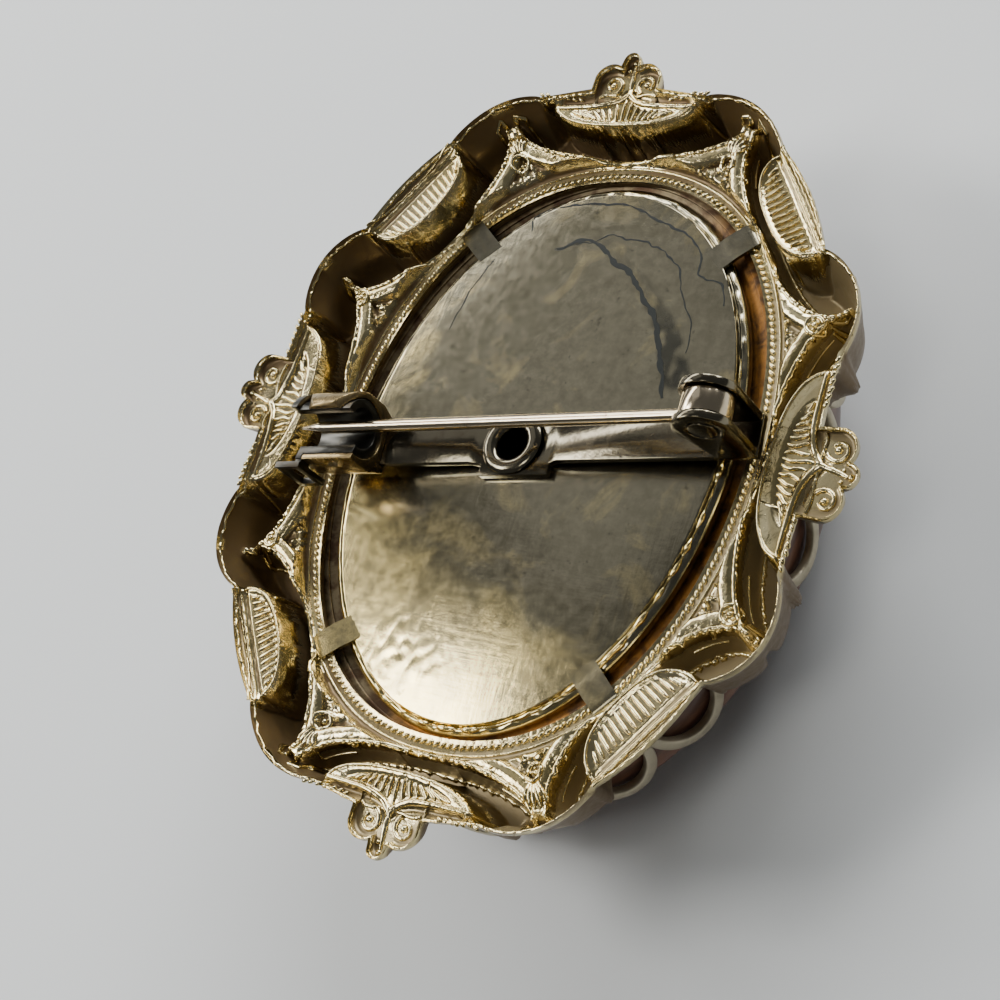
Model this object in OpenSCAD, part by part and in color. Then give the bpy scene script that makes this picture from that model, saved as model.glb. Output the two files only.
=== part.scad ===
// Oval cameo brooch that lies on its carved face, with its back and its pin upwards.
// X runs across the oval and Y along it. Z is up, and the surface that it lies on is at zero.

/* [Cameo] */
// Length of the oval stone
stone_l = 40; // [38:0.5:42]
// Width of the oval stone
stone_w = 30; // [28:0.5:32]
// Thickness of the stone at its middle
stone_h = 5.4; // [4.8:0.1:7]
// Radius of the stone's domed face
dome_r = 100; // [80:5:140]
// Height of the rose heads over the top of the dome
relief_h = 1.8; // [1.5:0.1:2.4]
// Radius of a carved rose
rose_r = 3.6; // [3:0.1:4]
// Distance from the middle of the stone to the middle of a rose
rose_out = 5.6; // [5:0.1:6.5]
// Height of the carved leaves and stems over the dome
leaf_h = 0.7; // [0.5:0.05:1]

/* [Setting] */
// Number of open loops round the stone
loop_n = 24; // [16:4:28]
// Thickness of the setting's wall
wall_t = 0.55; // [0.4:0.05:0.7]
// Height of a loop from the band to its tip
loop_h = 3.3; // [2.8:0.1:3.8]
// Height of the band that carries the loops
band_h = 0.6; // [0.5:0.05:0.8]
// Width of the strip that a loop is made of
strip_w = 0.55; // [0.4:0.05:0.7]
// Width of the cup's floor under the stone's edge
seat_w = 2.4; // [1.6:0.1:3]
// Thickness of the collar that carries the frame
collar_t = 0.5; // [0.4:0.05:0.8]

/* [Frame] */
// Width of the stamped frame without its finials
frame_w = 36; // [35:0.5:40]
// Length of the stamped frame without its finials
frame_l = 44.2; // [43:0.2:48]
// Thickness of the stamped sheet
sheet_t = 0.45; // [0.35:0.05:0.6]
// Gap between the back plate and the window at the two sides
side_gap = 0.85; // [0.7:0.05:1.5]
// Gap between the back plate and the window at the two ends
end_gap = 0.2; // [0.1:0.05:0.4]
// Width of the beaded ring round the window
ring_w = 1; // [0.8:0.1:1.2]
// Depth of the beaded ring below the rim
ring_depth = 2.4; // [2:0.1:2.6]
// Depth of the scrolls' troughs below the rim
trough_depth = 3.7; // [3.2:0.1:4.2]
// Depth of the hollow lobes below the rim
lobe_depth = 2.9; // [2.2:0.1:3.2]
// Depth of the ribbed lenses below the rim
lens_depth = 0.4; // [0.2:0.05:0.8]
// Skew of the frame, which draws out two opposite corners, as a share of its size
frame_skew = 0.02; // [0:0.005:0.03]
// Width of a finial
finial_w = 4.4; // [3.4:0.1:4.8]
// Height of the finials at the two sides
side_finial_h = 2.3; // [1.8:0.1:2.6]
// Height of the finials at the two ends
end_finial_h = 2.1; // [1.6:0.1:2.6]

/* [Back plate] */
// Length of the back plate
plate_l = 33.6; // [32:0.1:33.8]
// Width of the back plate
plate_w = 24.6; // [23:0.1:25]
// Thickness of the back plate
plate_t = 0.45; // [0.35:0.05:0.6]
// Radius of the back plate's dome
plate_dome_r = 150; // [120:5:200]
// Width of the step round the back plate's edge
step_w = 0.5; // [0.4:0.05:0.7]
// Drop of the step below the dome
step_drop = 0.25; // [0.15:0.05:0.3]
// Depth of the middle of the back plate below the rim
plate_depth = 1.65; // [1.5:0.05:1.8]
// Width of the four tabs that hold the plate to the frame
tab_w = 1.6; // [1.2:0.1:2.2]
// Length of a tab
tab_l = 2.8; // [2.4:0.1:3.2]

/* [Pin] */
// Turn of the pin away from the short axis
pin_turn = 6.8; // [0:0.2:10]
// Place of the eyelet across the brooch
eyelet_x = -0.4; // [-1:0.1:1]
// Place of the eyelet along the brooch
eyelet_y = -0.55; // [-1:0.05:1]
// Width of the bar
bar_w = 2.4; // [2.2:0.1:2.8]
// Thickness of the bar
bar_t = 0.45; // [0.4:0.05:0.55]
// Reach of the bar towards the hinge
bar_hinge_end = 14.9; // [14.7:0.05:15.2]
// Reach of the bar towards the catch
bar_catch_end = 12.3; // [12.1:0.1:12.8]
// Rise of the bar's two ends over its middle pad
bar_rise = 0.35; // [0.2:0.05:0.5]
// Length of the bar's middle pad
pad_l = 4.4; // [4:0.1:5]
// Width of the bar's middle pad
pad_w = 3.7; // [3.7:0.1:4.4]
// Height of the stem's middle over the bar
stem_over_bar = 2.4; // [2.2:0.05:2.6]
// Diameter of the stem
stem_d = 0.72; // [0.6:0.02:0.8]
// Reach of the stem's point from the eyelet
stem_reach = 12.7; // [12.4:0.1:13]
// Length of the stem's point
point_l = 1.6; // [1:0.1:2.4]

/* [Hinge] */
// Distance from the eyelet to the hinge's axle
axle_x = 13.2; // [13:0.05:13.3]
// Height of the axle over the bar
axle_over_bar = 2.95; // [2.8:0.05:3.1]
// Diameter of the axle
axle_d = 0.9; // [0.8:0.05:1]
// Radius of the ears' round heads
ear_r = 1.6; // [1.5:0.05:1.7]
// Thickness of an ear
ear_t = 0.45; // [0.4:0.05:0.5]
// Radius of the stem's knuckle
knuckle_r = 1.4; // [1.3:0.05:1.45]

/* [Catch] */
// Distance from the eyelet to the near end of the catch
catch_x = 8.5; // [8:0.1:8.7]
// Length of the catch along the bar
catch_l = 3.5; // [3.2:0.1:3.7]
// Outer radius of the catch's barrel
catch_r = 2.1; // [2:0.05:2.3]
// Thickness of the catch's wall
catch_t = 0.36; // [0.3:0.02:0.4]
// Thickness of the turning lock's wall
lock_t = 0.5; // [0.4:0.05:0.55]
// Length of the lever outside the catch, along the bar
lever_l = 1.7; // [1.4:0.1:1.9]
// Height of the lever
lever_h = 2.6; // [2.2:0.1:2.9]

/* [Clearances] */
// Clearance between pieces that are fixed to each other
gap = 0.03; // [0.02:0.01:0.06]
// Clearance between a turning piece and its seat
run = 0.06; // [0.04:0.01:0.09]

/* [Hidden] */

// Heights over the surface that the brooch lies on
dome_z = relief_h + dome_r;
stone_top = relief_h + stone_h;
seat_z = stone_top + gap;
seat_t = band_h;
rim_z = seat_z + seat_t + gap * 4 + trough_depth + sheet_t;
ring_z = rim_z - ring_depth;
plate_z = rim_z - plate_depth;
pad_z = plate_z + gap;
bar_z = pad_z + bar_rise;
bar_top = bar_z + bar_t;
stem_z = bar_top + stem_over_bar;
axle_z = bar_top + axle_over_bar;
catch_z = bar_top + gap + catch_r;

// The window in the frame goes round the back plate
window_w = plate_w + 2 * side_gap;
window_l = plate_l + 2 * end_gap;
half_w = frame_w / 2;
half_l = frame_l / 2;
OVAL_SIDES = 96;

// Flat shapes shared by several pieces

function oval(a, b, sides = OVAL_SIDES) =
    [for (i = [0:sides - 1]) [a * cos(i * 360 / sides), b * sin(i * 360 / sides)]];

module oval_ring(out_a, out_b, in_a, in_b) {
    difference() {
        polygon(oval(out_a, out_b));
        polygon(oval(in_a, in_b));
    }
}

// Cap of a ball, round as seen from above, flat below
module cap(r, h) {
    ball = (r * r + h * h) / (2 * h);
    intersection() {
        translate([-r * 1.2, -r * 1.2, 0]) cube([r * 2.4, r * 2.4, h * 1.2]);
        translate([0, 0, h - ball]) sphere(r = ball, $fn = 64);
    }
}

// Cameo: an oval stone with a domed face and a spray of three roses

ROSE_TURNS = [90, 214, 326];
// Stretch of the spray along the stone
ROSE_STRETCH = 1.15;
// Leaves: place across and along as shares of the stone's half sizes, direction, length share
LEAVES = [
    [0.02, 0.78, 90, 0.34], [0.34, 0.66, 55, 0.36], [-0.31, 0.68, 122, 0.36],
    [0.6, 0.36, 25, 0.34], [-0.6, 0.36, 155, 0.34], [0.74, -0.02, -8, 0.3],
    [-0.74, -0.02, 188, 0.3], [0.55, -0.52, -48, 0.36], [-0.55, -0.52, 228, 0.36],
    [0.24, -0.68, -74, 0.36], [-0.24, -0.68, 254, 0.36], [0, -0.34, -90, 0.3],
];
// Buds at the tips of the spray: place as shares, radius share
BUDS = [[0.5, 0.74, 0.075], [-0.5, 0.72, 0.075], [0, -0.84, 0.08], [0.8, 0.2, 0.06], [-0.8, 0.2, 0.06]];
LEAF_SLIM = 0.38;
VEIN_W = 0.16;
STALK_W = 0.55;

module cameo_stone() color([0.42, 0.24, 0.16]) {
    intersection() {
        linear_extrude(stone_top) polygon(oval(stone_w / 2, stone_l / 2));
        translate([0, 0, dome_z]) sphere(r = dome_r, $fn = 180);
    }
}

module leaf(length) {
    wide = length * LEAF_SLIM;
    round_r = (length * length + wide * wide) / (4 * wide);
    difference() {
        intersection() {
            translate([0, round_r - wide / 2]) circle(r = round_r, $fn = 72);
            translate([0, wide / 2 - round_r]) circle(r = round_r, $fn = 72);
        }
        translate([-length * 0.3, -VEIN_W / 2]) square([length * 0.66, VEIN_W]);
    }
}

module spray() {
    for (l = LEAVES)
        translate([l[0] * stone_w / 2, l[1] * stone_l / 2]) rotate(l[2]) leaf(l[3] * stone_w / 2);
    for (b = BUDS)
        translate([b[0] * stone_w / 2, b[1] * stone_l / 2]) circle(r = b[2] * stone_w / 2, $fn = 40);
    for (p = concat(LEAVES, BUDS))
        stalk([p[0] * stone_w / 2, p[1] * stone_l / 2]);
}

module stalk(end) {
    rotate(atan2(end[1], end[0])) translate([0, -STALK_W / 2]) square([norm(end) - STALK_W, STALK_W]);
}

// Rows of petals: count, distance and radius as shares of the rose's radius, height as a share
// of its height, tilt, first turn
PETAL_ROWS = [[6, 0.58, 0.44, 0.12, 14, 0], [5, 0.36, 0.36, 0.32, 24, 30], [3, 0.15, 0.25, 0.48, 30, 10]];
// Core, petals and middle bead of a rose, as shares of its radius and its height
CORE = [0.86, 0.55];
PETAL_RISE = 0.42;
BEAD = 0.2;

module rose(rise) {
    cap(rose_r * CORE[0], rise * CORE[1]);
    for (row = PETAL_ROWS, i = [0:row[0] - 1])
        rotate(row[5] + i * 360 / row[0])
            translate([row[1] * rose_r, 0, row[3] * rise])
                rotate([0, -row[4], 0]) cap(row[2] * rose_r, rise * PETAL_RISE);
    translate([0, 0, rise - rose_r * BEAD]) sphere(r = rose_r * BEAD, $fn = 40);
}

module cameo_relief() color([0.93, 0.87, 0.76]) {
    difference() {
        union() {
            intersection() {
                linear_extrude(stone_top) spray();
                translate([0, 0, dome_z]) sphere(r = dome_r + leaf_h, $fn = 180);
            }
            for (a = ROSE_TURNS)
                translate([rose_out * cos(a), rose_out * ROSE_STRETCH * sin(a), relief_h])
                    rotate([180, 0, 0]) rose(relief_h);
        }
        translate([0, 0, dome_z]) sphere(r = dome_r + gap, $fn = 180);
    }
}

// Setting: a floor and a collar that carry the frame, and a wall of open loops round the stone

in_a = stone_w / 2 + gap * 4;
in_b = stone_l / 2 + gap * 4;
out_a = in_a + wall_t;
out_b = in_b + wall_t;
collar_a = window_w / 2 + ring_w * 0.55;
collar_b = window_l / 2 + ring_w * 0.55;
loop_z = seat_z - gap;
// Lip inside the collar, which closes the gap round the back plate from below
LIP_LAP = 0.9;
LIP_T = 0.35;
lip_top = min(ring_z - sheet_t - gap, step_z(plate_l / 2) - plate_t - gap * 4);

function loop_turn(i) = (i + 0.5) * 360 / loop_n;
function loop_pitch(i) =
    norm([out_a * sin(loop_turn(i)), out_b * cos(loop_turn(i))]) * 2 * PI / loop_n;

// Half of an oval that hangs from zero
function arch(half, height) =
    [for (a = [180:15:360]) [half * cos(a), height * sin(a)]];

// A flat shape stood up on the wall at loop i, facing out
module at_loop(i) {
    turn = loop_turn(i);
    facing = atan2(sin(turn) / out_b, cos(turn) / out_a);
    translate([out_a * cos(turn), out_b * sin(turn), loop_z])
        rotate([0, 0, facing + 90]) rotate([90, 0, 0])
            translate([0, 0, -wall_t * 2]) linear_extrude(wall_t * 4) children();
}

module setting() color([0.8, 0.78, 0.7]) {
    difference() {
        union() {
            translate([0, 0, seat_z]) linear_extrude(seat_t)
                oval_ring(out_a, out_b, in_a - seat_w, in_b - seat_w);
            translate([0, 0, seat_z]) linear_extrude(ring_z - sheet_t - gap - seat_z)
                oval_ring(collar_a, collar_b, collar_a - collar_t, collar_b - collar_t);
            translate([0, 0, lip_top - LIP_T]) linear_extrude(LIP_T)
                oval_ring(collar_a, collar_b, plate_w / 2 - LIP_LAP, plate_l / 2 - LIP_LAP);
            intersection() {
                translate([0, 0, seat_z - loop_h * 2]) linear_extrude(loop_h * 2 + gap)
                    oval_ring(out_a, out_b, in_a, in_b);
                for (i = [0:loop_n - 1])
                    at_loop(i) polygon(concat([[loop_pitch(i) / 2, gap * 2], [-loop_pitch(i) / 2, gap * 2]],
                        arch(loop_pitch(i) / 2 + strip_w * 0.1, loop_h)));
            }
        }
        for (i = [0:loop_n - 1])
            at_loop(i) translate([0, -gap]) polygon(arch(loop_pitch(i) / 2 - strip_w, loop_h - strip_w));
    }
}

// Frame: a stamped shell of eight scrolled cartouches and eight hollow lobes

// Outline of one quarter: place across and along, and bulge of the edge that follows,
// as shares of the half width, the half length and the half width
OUTLINE = [
    [1, 0, 0], [0.987, 0.271, 0.082], [0.854, 0.534, 0.028],
    [0.621, 0.8145, 0.062], [0.316, 0.959, 0], [0, 1, 0],
];
// Cartouches of one quarter: middle of the outer edge as shares across and along, direction,
// then as shares of the half width: scroll's half length and depth, lens's half length and
// depth, and half length of the outer edge
CARTOUCHES = [
    [0.987, 0, 0, 0.515, 0.2, 0.285, 0.135, 0.335],
    [0.737, 0.674, 34, 0.388, 0.2, 0.2, 0.139, 0.208],
    [0, 0.959, 90, 0.455, 0.177, 0.265, 0.096, 0.316],
];
// Steps round each stretch of the quarter, from the side finial to the end finial
STEPS = [7, 4, 8, 7, 8, 4, 7];
// Rows from the window to the rim, as shares of the frame's width there
ROWS = [0, 0.08, 0.16, 0.24, 0.32, 0.4, 0.48, 0.56, 0.64, 0.72, 0.8, 0.87, 0.94, 1];
// Below the rim: ridge along the scrolls, ornamented panels, groove and outer border
ridge_depth = ring_depth * 0.65;
panel_depth = ring_depth * 0.83;
border_depth = lens_depth * 1.4;
// Width of the turned rim and of the hollow lobes
edge_w = 1.6;
lobe_w = 0.7;
RIM_CURVE = 1.6;
// Distances in from the outer edge at which a lens and its border start and are whole
lens_start = 0.1;
lens_whole = 0.5;
border_start = 0.35;
border_past = 0.05;
// Distances before and past the end of a cartouche's edge over which its border and a lobe blend
end_before = 0.2;
end_past = 0.45;
CURVE = 2.5;
WINDOW_CURVE = 2.2;

function mix(a, b, t) = a + (b - a) * t;
function ramp(v, a, b) =
    let (t = min(1, max(0, (v - a) / (b - a)))) t * t * (3 - 2 * t);
function spot(i) = [OUTLINE[i][0] * half_w, OUTLINE[i][1] * half_l];
function spot_turn(i) = atan2(spot(i)[1], spot(i)[0]);
function edge_at(turn, i = 0) =
    i == len(OUTLINE) - 2 || turn <= spot_turn(i + 1) ? i : edge_at(turn, i + 1);
function flat_cross(a, b) = a[0] * b[1] - a[1] * b[0];

// Finial: a bead at the tip and a larger bead at each side
function finial_out(w, h) =
    let (tip = finial_w * 0.17, side = finial_w * 0.24, off = abs(w - finial_w * 0.26))
    max(0,
        w < tip ? h - tip + sqrt(tip * tip - w * w) : 0,
        off < side ? h * 0.22 + sqrt(side * side - off * off) : 0);

function outline_r(turn) =
    let (i = edge_at(turn), p = spot(i), d = spot(i + 1) - p, way = [cos(turn), sin(turn)],
        t = -flat_cross(way, p) / flat_cross(way, d),
        bulge = OUTLINE[i][2] * half_w * pow(max(0, sin(180 * t)), 0.8))
    norm(p + d * t) + bulge
        + (turn < 45 ? finial_out(half_w * tan(turn), side_finial_h)
            : finial_out(half_l * tan(90 - turn), end_finial_h));

function window_r(turn) =
    pow(pow(cos(turn) / (window_w / 2), WINDOW_CURVE) + pow(sin(turn) / (window_l / 2), WINDOW_CURVE),
        -1 / WINDOW_CURVE);

function along(c, x, y) = (y - c[1] * half_l) * cos(c[2]) - (x - c[0] * half_w) * sin(c[2]);
function outward(c, x, y) = (x - c[0] * half_w) * cos(c[2]) + (y - c[1] * half_l) * sin(c[2]);
function bow(u, v, length, deep) =
    pow(pow(abs(u) / length, CURVE) + pow(max(0, -v) / deep, CURVE), 1 / CURVE);

// One cartouche at a point: how far out of its scroll, out of its lens, and its own two axes
function cartouche(c, x, y) =
    let (u = along(c, x, y), v = outward(c, x, y))
    [bow(u, v, c[3] * half_w, c[4] * half_w), bow(u, v, c[5] * half_w, c[6] * half_w),
        abs(u) - c[7] * half_w, v];
function nearest(list, i = 0, best = [100, 100, 0, 0]) =
    i == len(list) ? best : nearest(list, i + 1, list[i][0] < best[0] ? list[i] : best);

// Height of the sheet's back at a point of the first quarter, counted down from the rim
function back_height(x, y) =
    let (turn = atan2(y, x), r = norm([x, y]),
        in_edge = r - window_r(turn), out_edge = max(0, outline_r(turn) - r),
        c = nearest([for (c = CARTOUCHES) cartouche(c, x, y)]),
        scroll = c[0] < 1 ? mix(-ridge_depth, -trough_depth, ramp(c[0], 1, 0.8))
            : mix(-ridge_depth, -panel_depth, ramp(c[0], 1, 1.15)),
        lens = mix(scroll, -lens_depth, ramp(c[1], 1.25, 0.95) * ramp(-c[3], lens_start, lens_whole)),
        border = mix(lens, -border_depth,
            ramp(c[3], -border_start, border_past) * ramp(c[2], end_past, -end_before)),
        lobe = mix(border, -lobe_depth,
            ramp(out_edge, lobe_w * 1.5, lobe_w) * ramp(c[2], -end_before, end_past)),
        rim = mix(lobe, 0, pow(1 - min(1, out_edge / edge_w), RIM_CURVE)))
    mix(-ring_depth, rim, ramp(in_edge, ring_w, ring_w * 1.45));

// Height of the sheet's front: the back moved in by the sheet's thickness in every direction
function front_height(x, y) =
    let (step = sheet_t * 0.5, drop = sheet_t * 0.6)
    min(back_height(x, y) - sheet_t,
        min([for (a = [0:45:315]) back_height(abs(x + step * cos(a)), abs(y + step * sin(a))) - drop]));

finial_turn_side = atan(finial_w / 2 / half_w);
finial_turn_end = 90 - atan(finial_w / 2 / half_l);
STOPS = [0, finial_turn_side, spot_turn(1), spot_turn(2), spot_turn(3), spot_turn(4),
    finial_turn_end, 90];
QUARTER = [for (i = [0:len(STEPS) - 1], j = [0:STEPS[i] - 1])
    mix(STOPS[i], STOPS[i + 1], j / STEPS[i])];
FOLDED = concat(QUARTER, [90], [for (i = [len(QUARTER) - 1:-1:1]) QUARTER[i]]);
TURNS = [for (i = [0:2 * len(FOLDED) - 1])
    let (j = i % len(FOLDED), half = floor(i / len(FOLDED)) * 180)
    half + (j <= len(QUARTER) ? FOLDED[j] : 180 - FOLDED[j])];

// Radius, back height and front height of each row of the first quarter
SECTION = [for (turn = concat(QUARTER, [90])) [for (s = ROWS)
    let (r = mix(window_r(turn), outline_r(turn), s), x = r * cos(turn), y = r * sin(turn))
    [r, back_height(x, y), front_height(x, y)]]];
function section(i) =
    let (j = i % len(FOLDED)) SECTION[j <= len(QUARTER) ? j : len(FOLDED) - j];

function skewed(x, y, share) = [x - frame_skew * share * y, y - frame_skew * share * x];
function skin(side) = [for (i = [0:len(TURNS) - 1], j = [0:len(ROWS) - 1])
    let (p = section(i)[j])
    concat(skewed(p[0] * cos(TURNS[i]), p[0] * sin(TURNS[i]), ROWS[j]), [rim_z + p[side]])];
function at(side, i, j) = (side * len(TURNS) + i % len(TURNS)) * len(ROWS) + j;
function two(a, b, c, d) = [[a, b, c], [a, c, d]];

module frame() color([0.78, 0.7, 0.45]) {
    last = len(ROWS) - 1;
    polyhedron(points = concat(skin(1), skin(2)), faces = [for (i = [0:len(TURNS) - 1]) each concat(
        [for (j = [0:last - 1])
            each two(at(0, i, j), at(0, i + 1, j), at(0, i + 1, j + 1), at(0, i, j + 1))],
        [for (j = [0:last - 1])
            each two(at(1, i, j), at(1, i, j + 1), at(1, i + 1, j + 1), at(1, i + 1, j))],
        two(at(0, i + 1, 0), at(0, i, 0), at(1, i, 0), at(1, i + 1, 0)),
        two(at(0, i, last), at(0, i + 1, last), at(1, i + 1, last), at(1, i, last))
    )]);
}

// Back plate: a slightly domed oval with four tabs that lie on the frame's ring

// Eyelet: hole, tube and flange
eyelet_hole_r = 0.93;
eyelet_tube_t = 0.3;
eyelet_r = 1.85;
FLANGE = 0.34;
eyelet_seat_r = eyelet_hole_r + eyelet_tube_t + gap;
TAB_TURN = 48;
tab_root = tab_l * 0.32;
corner_z = step_z(norm([plate_w / 2 * cos(TAB_TURN), plate_l / 2 * sin(TAB_TURN)]));

// Height of the top of the step at a distance from the middle
function step_z(r) = plate_z - plate_dome_r + sqrt(pow(plate_dome_r, 2) - pow(r, 2)) - step_drop;

module pin_frame() {
    translate([eyelet_x, eyelet_y, 0]) rotate(pin_turn) children();
}

// A dome of the plate's thickness over a flat shape
module domed(drop) {
    intersection() {
        linear_extrude(plate_z * 2) children();
        translate([0, 0, plate_z - plate_dome_r - drop]) difference() {
            sphere(r = plate_dome_r, $fn = 180);
            sphere(r = plate_dome_r - plate_t, $fn = 180);
        }
    }
}

module back_plate() color([0.52, 0.5, 0.42]) {
    dome_a = plate_w / 2 - step_w;
    dome_b = plate_l / 2 - step_w;
    difference() {
        union() {
            domed(0) polygon(oval(dome_a, dome_b));
            domed(step_drop) oval_ring(plate_w / 2, plate_l / 2, dome_a - plate_t, dome_b - plate_t);
            for (a = [TAB_TURN, 180 - TAB_TURN, 180 + TAB_TURN, -TAB_TURN])
                translate([plate_w / 2 * cos(a), plate_l / 2 * sin(a), 0])
                    rotate(atan2(plate_l * sin(a), plate_w * cos(a))) tab();
        }
        pin_frame() cylinder(r = eyelet_seat_r, h = plate_z * 2, $fn = 48);
    }
}

// A tab on the ring, with a root that goes down or up to the plate's edge
module tab() {
    low = ring_z + gap;
    foot = min(low, corner_z - plate_t);
    translate([-tab_root, -tab_w / 2, low]) cube([tab_l, tab_w, plate_t]);
    translate([-tab_root, -tab_w / 2, foot])
        cube([tab_root + gap, tab_w, max(low + plate_t, corner_z) - foot]);
}

// Pin: a joggled bar with two ears, riveted through its middle pad, a stem and a turning catch

ear_gap = bar_w - 2 * ear_t;
// Half width of an ear's foot on the side of the stem, as a share of its head's radius
EAR_FOOT = 0.35;
// Run of the bar's slopes beside its pad, and shift of the pad from the eyelet
JOGGLE = 0.6;
PAD_SHIFT = 0.33;
// Axle's heads, and the recesses in the ears that they sit in
HEAD_T = 0.12;
HEAD_W = 0.3;
recess_t = ear_t * 0.3;
recess_r = axle_d / 2 + HEAD_W * 1.5;
pad_hinge = pad_l / 2 + PAD_SHIFT;
pad_catch = pad_l / 2 - PAD_SHIFT;

// A flat shape in the plane of the bar's length and height, made thick across the bar
module across(width, at = 0) {
    translate([0, at + width / 2, 0]) rotate([90, 0, 0]) linear_extrude(width) children();
}

module axle(r, width) {
    translate([axle_x, width / 2, axle_z]) rotate([90, 0, 0]) cylinder(r = r, h = width, $fn = 48);
}

module pin_bar() color([0.72, 0.66, 0.5]) pin_frame() {
    difference() {
        union() {
            across(bar_w) polygon([
                [-bar_catch_end, bar_z], [-pad_catch - JOGGLE, bar_z], [-pad_catch, pad_z],
                [pad_hinge, pad_z], [pad_hinge + JOGGLE, bar_z], [bar_hinge_end, bar_z],
                [bar_hinge_end, bar_top], [pad_hinge + JOGGLE, bar_top], [pad_hinge, pad_z + bar_t],
                [-pad_catch, pad_z + bar_t], [-pad_catch - JOGGLE, bar_top], [-bar_catch_end, bar_top],
            ]);
            translate([-pad_catch, -pad_w / 2, pad_z]) cube([pad_l, pad_w, bar_t]);
            for (side = [-1, 1])
                across(ear_t, side * (ear_gap + ear_t) / 2) {
                    translate([axle_x, axle_z]) circle(r = ear_r, $fn = 64);
                    polygon([[axle_x - ear_r, axle_z], [axle_x - ear_r * EAR_FOOT, bar_z],
                        [axle_x + ear_r, bar_z], [axle_x + ear_r, axle_z]]);
                }
        }
        axle(axle_d / 2 + gap, bar_w * 2);
        for (side = [-1, 1])
            translate([axle_x, side * (bar_w / 2 - recess_t + ear_t), axle_z])
                rotate([90, 0, 0]) cylinder(r = recess_r, h = ear_t * 2, center = true, $fn = 48);
        cylinder(r = eyelet_seat_r, h = pad_z * 2, $fn = 48);
    }
}

module hinge_pin() color([0.6, 0.55, 0.42]) pin_frame() {
    axle(axle_d / 2, bar_w - recess_t);
    for (side = [-1, 1])
        translate([axle_x, side * (bar_w / 2 - recess_t + gap + HEAD_T / 2), axle_z])
            rotate([90, 0, 0]) cylinder(r = axle_d / 2 + HEAD_W, h = HEAD_T, center = true, $fn = 48);
}

module eyelet() color([0.66, 0.62, 0.5]) pin_frame() {
    low = plate_z - plate_t - gap * 2 - FLANGE * 0.7;
    top = pad_z + bar_t + gap + FLANGE;
    tube_r = eyelet_hole_r + eyelet_tube_t;
    difference() {
        union() {
            translate([0, 0, low]) cylinder(r = tube_r, h = top - low, $fn = 48);
            translate([0, 0, low]) cylinder(r = tube_r + FLANGE, h = FLANGE * 0.7, $fn = 48);
            translate([0, 0, top - FLANGE]) cylinder(r = eyelet_r, h = FLANGE * 0.55, $fn = 48);
            translate([0, 0, top - FLANGE]) cylinder(r = eyelet_r - FLANGE * 0.6, h = FLANGE, $fn = 48);
        }
        translate([0, 0, low - 1]) cylinder(r = eyelet_hole_r, h = top - low + 2, $fn = 48);
    }
}

module pin_stem() color([0.76, 0.7, 0.52]) pin_frame() {
    knuckle_w = ear_gap - 4 * run;
    difference() {
        union() {
            axle(knuckle_r, knuckle_w);
            translate([point_l - stem_reach, 0, stem_z]) rotate([0, 90, 0])
                cylinder(d = stem_d, h = axle_x - knuckle_r * 0.5 + stem_reach - point_l, $fn = 48);
            translate([point_l - stem_reach, 0, stem_z]) rotate([0, -90, 0])
                cylinder(d1 = stem_d, d2 = stem_d * 0.2, h = point_l, $fn = 48);
        }
        axle(axle_d / 2 + run, bar_w);
    }
}

// The way in for the stem, as seen along the bar: open from straight up round to the front
MOUTH_TURN = 14;
mouth_half = stem_d / 2 + run * 2.5;

module mouth() {
    reach = catch_r * 2;
    polygon([[0, 0], [mouth_half, 0], [mouth_half, reach], [-reach, reach],
        [-reach, reach * tan(MOUTH_TURN)]]);
}

// A flat shape across the bar, made long towards the catch's far end
module along_bar(from, length) {
    translate([-from, 0, catch_z]) rotate([90, 0, -90]) linear_extrude(length) mirror([1, 0]) children();
}

// Catch: the skirt's knee and the hood's middle over the barrel's axis, and a dimple in the front
knee_z = catch_r * 0.62;
hood_r = catch_l / 2;
hood_z = catch_r - hood_r;
DIMPLE_R = 0.55;
DIMPLE_OUT = 0.3;

module catch() color([0.5, 0.4, 0.22]) pin_frame() {
    skirt = bar_w / 2 + catch_t;
    foot = bar_z - catch_z;
    intersection() {
        difference() {
            along_bar(catch_x, catch_l) difference() {
                union() {
                    circle(r = catch_r, $fn = 96);
                    polygon([[-catch_r, 0], [-catch_r, -knee_z], [-skirt - gap, foot], [skirt + gap, foot],
                        [catch_r, -knee_z], [catch_r, 0]]);
                }
                circle(r = catch_r - catch_t, $fn = 96);
                mouth();
                translate([-bar_w / 2 - gap, foot - bar_t])
                    square([bar_w + 2 * gap, bar_t * 2 + gap]);
            }
            translate([-catch_x - catch_l / 2, -catch_r - DIMPLE_OUT, catch_z])
                sphere(r = DIMPLE_R, $fn = 40);
        }
        union() {
            translate([-catch_x - catch_l, -catch_r * 2, bar_z - bar_t])
                cube([catch_l, catch_r * 4, catch_z + hood_z - bar_z + bar_t]);
            translate([-catch_x - hood_r, catch_r * 2, catch_z + hood_z]) rotate([90, 0, 0])
                cylinder(r = hood_r, h = catch_r * 4, $fn = 96);
        }
    }
}

// Lock: a slit tube that turns in the catch, with a collar and a looped lever at its free end
COLLAR_T = 0.4;
LEVER_T = 0.36;
LEVER_TOP = 0.5;
ARM_W = 0.8;

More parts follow.
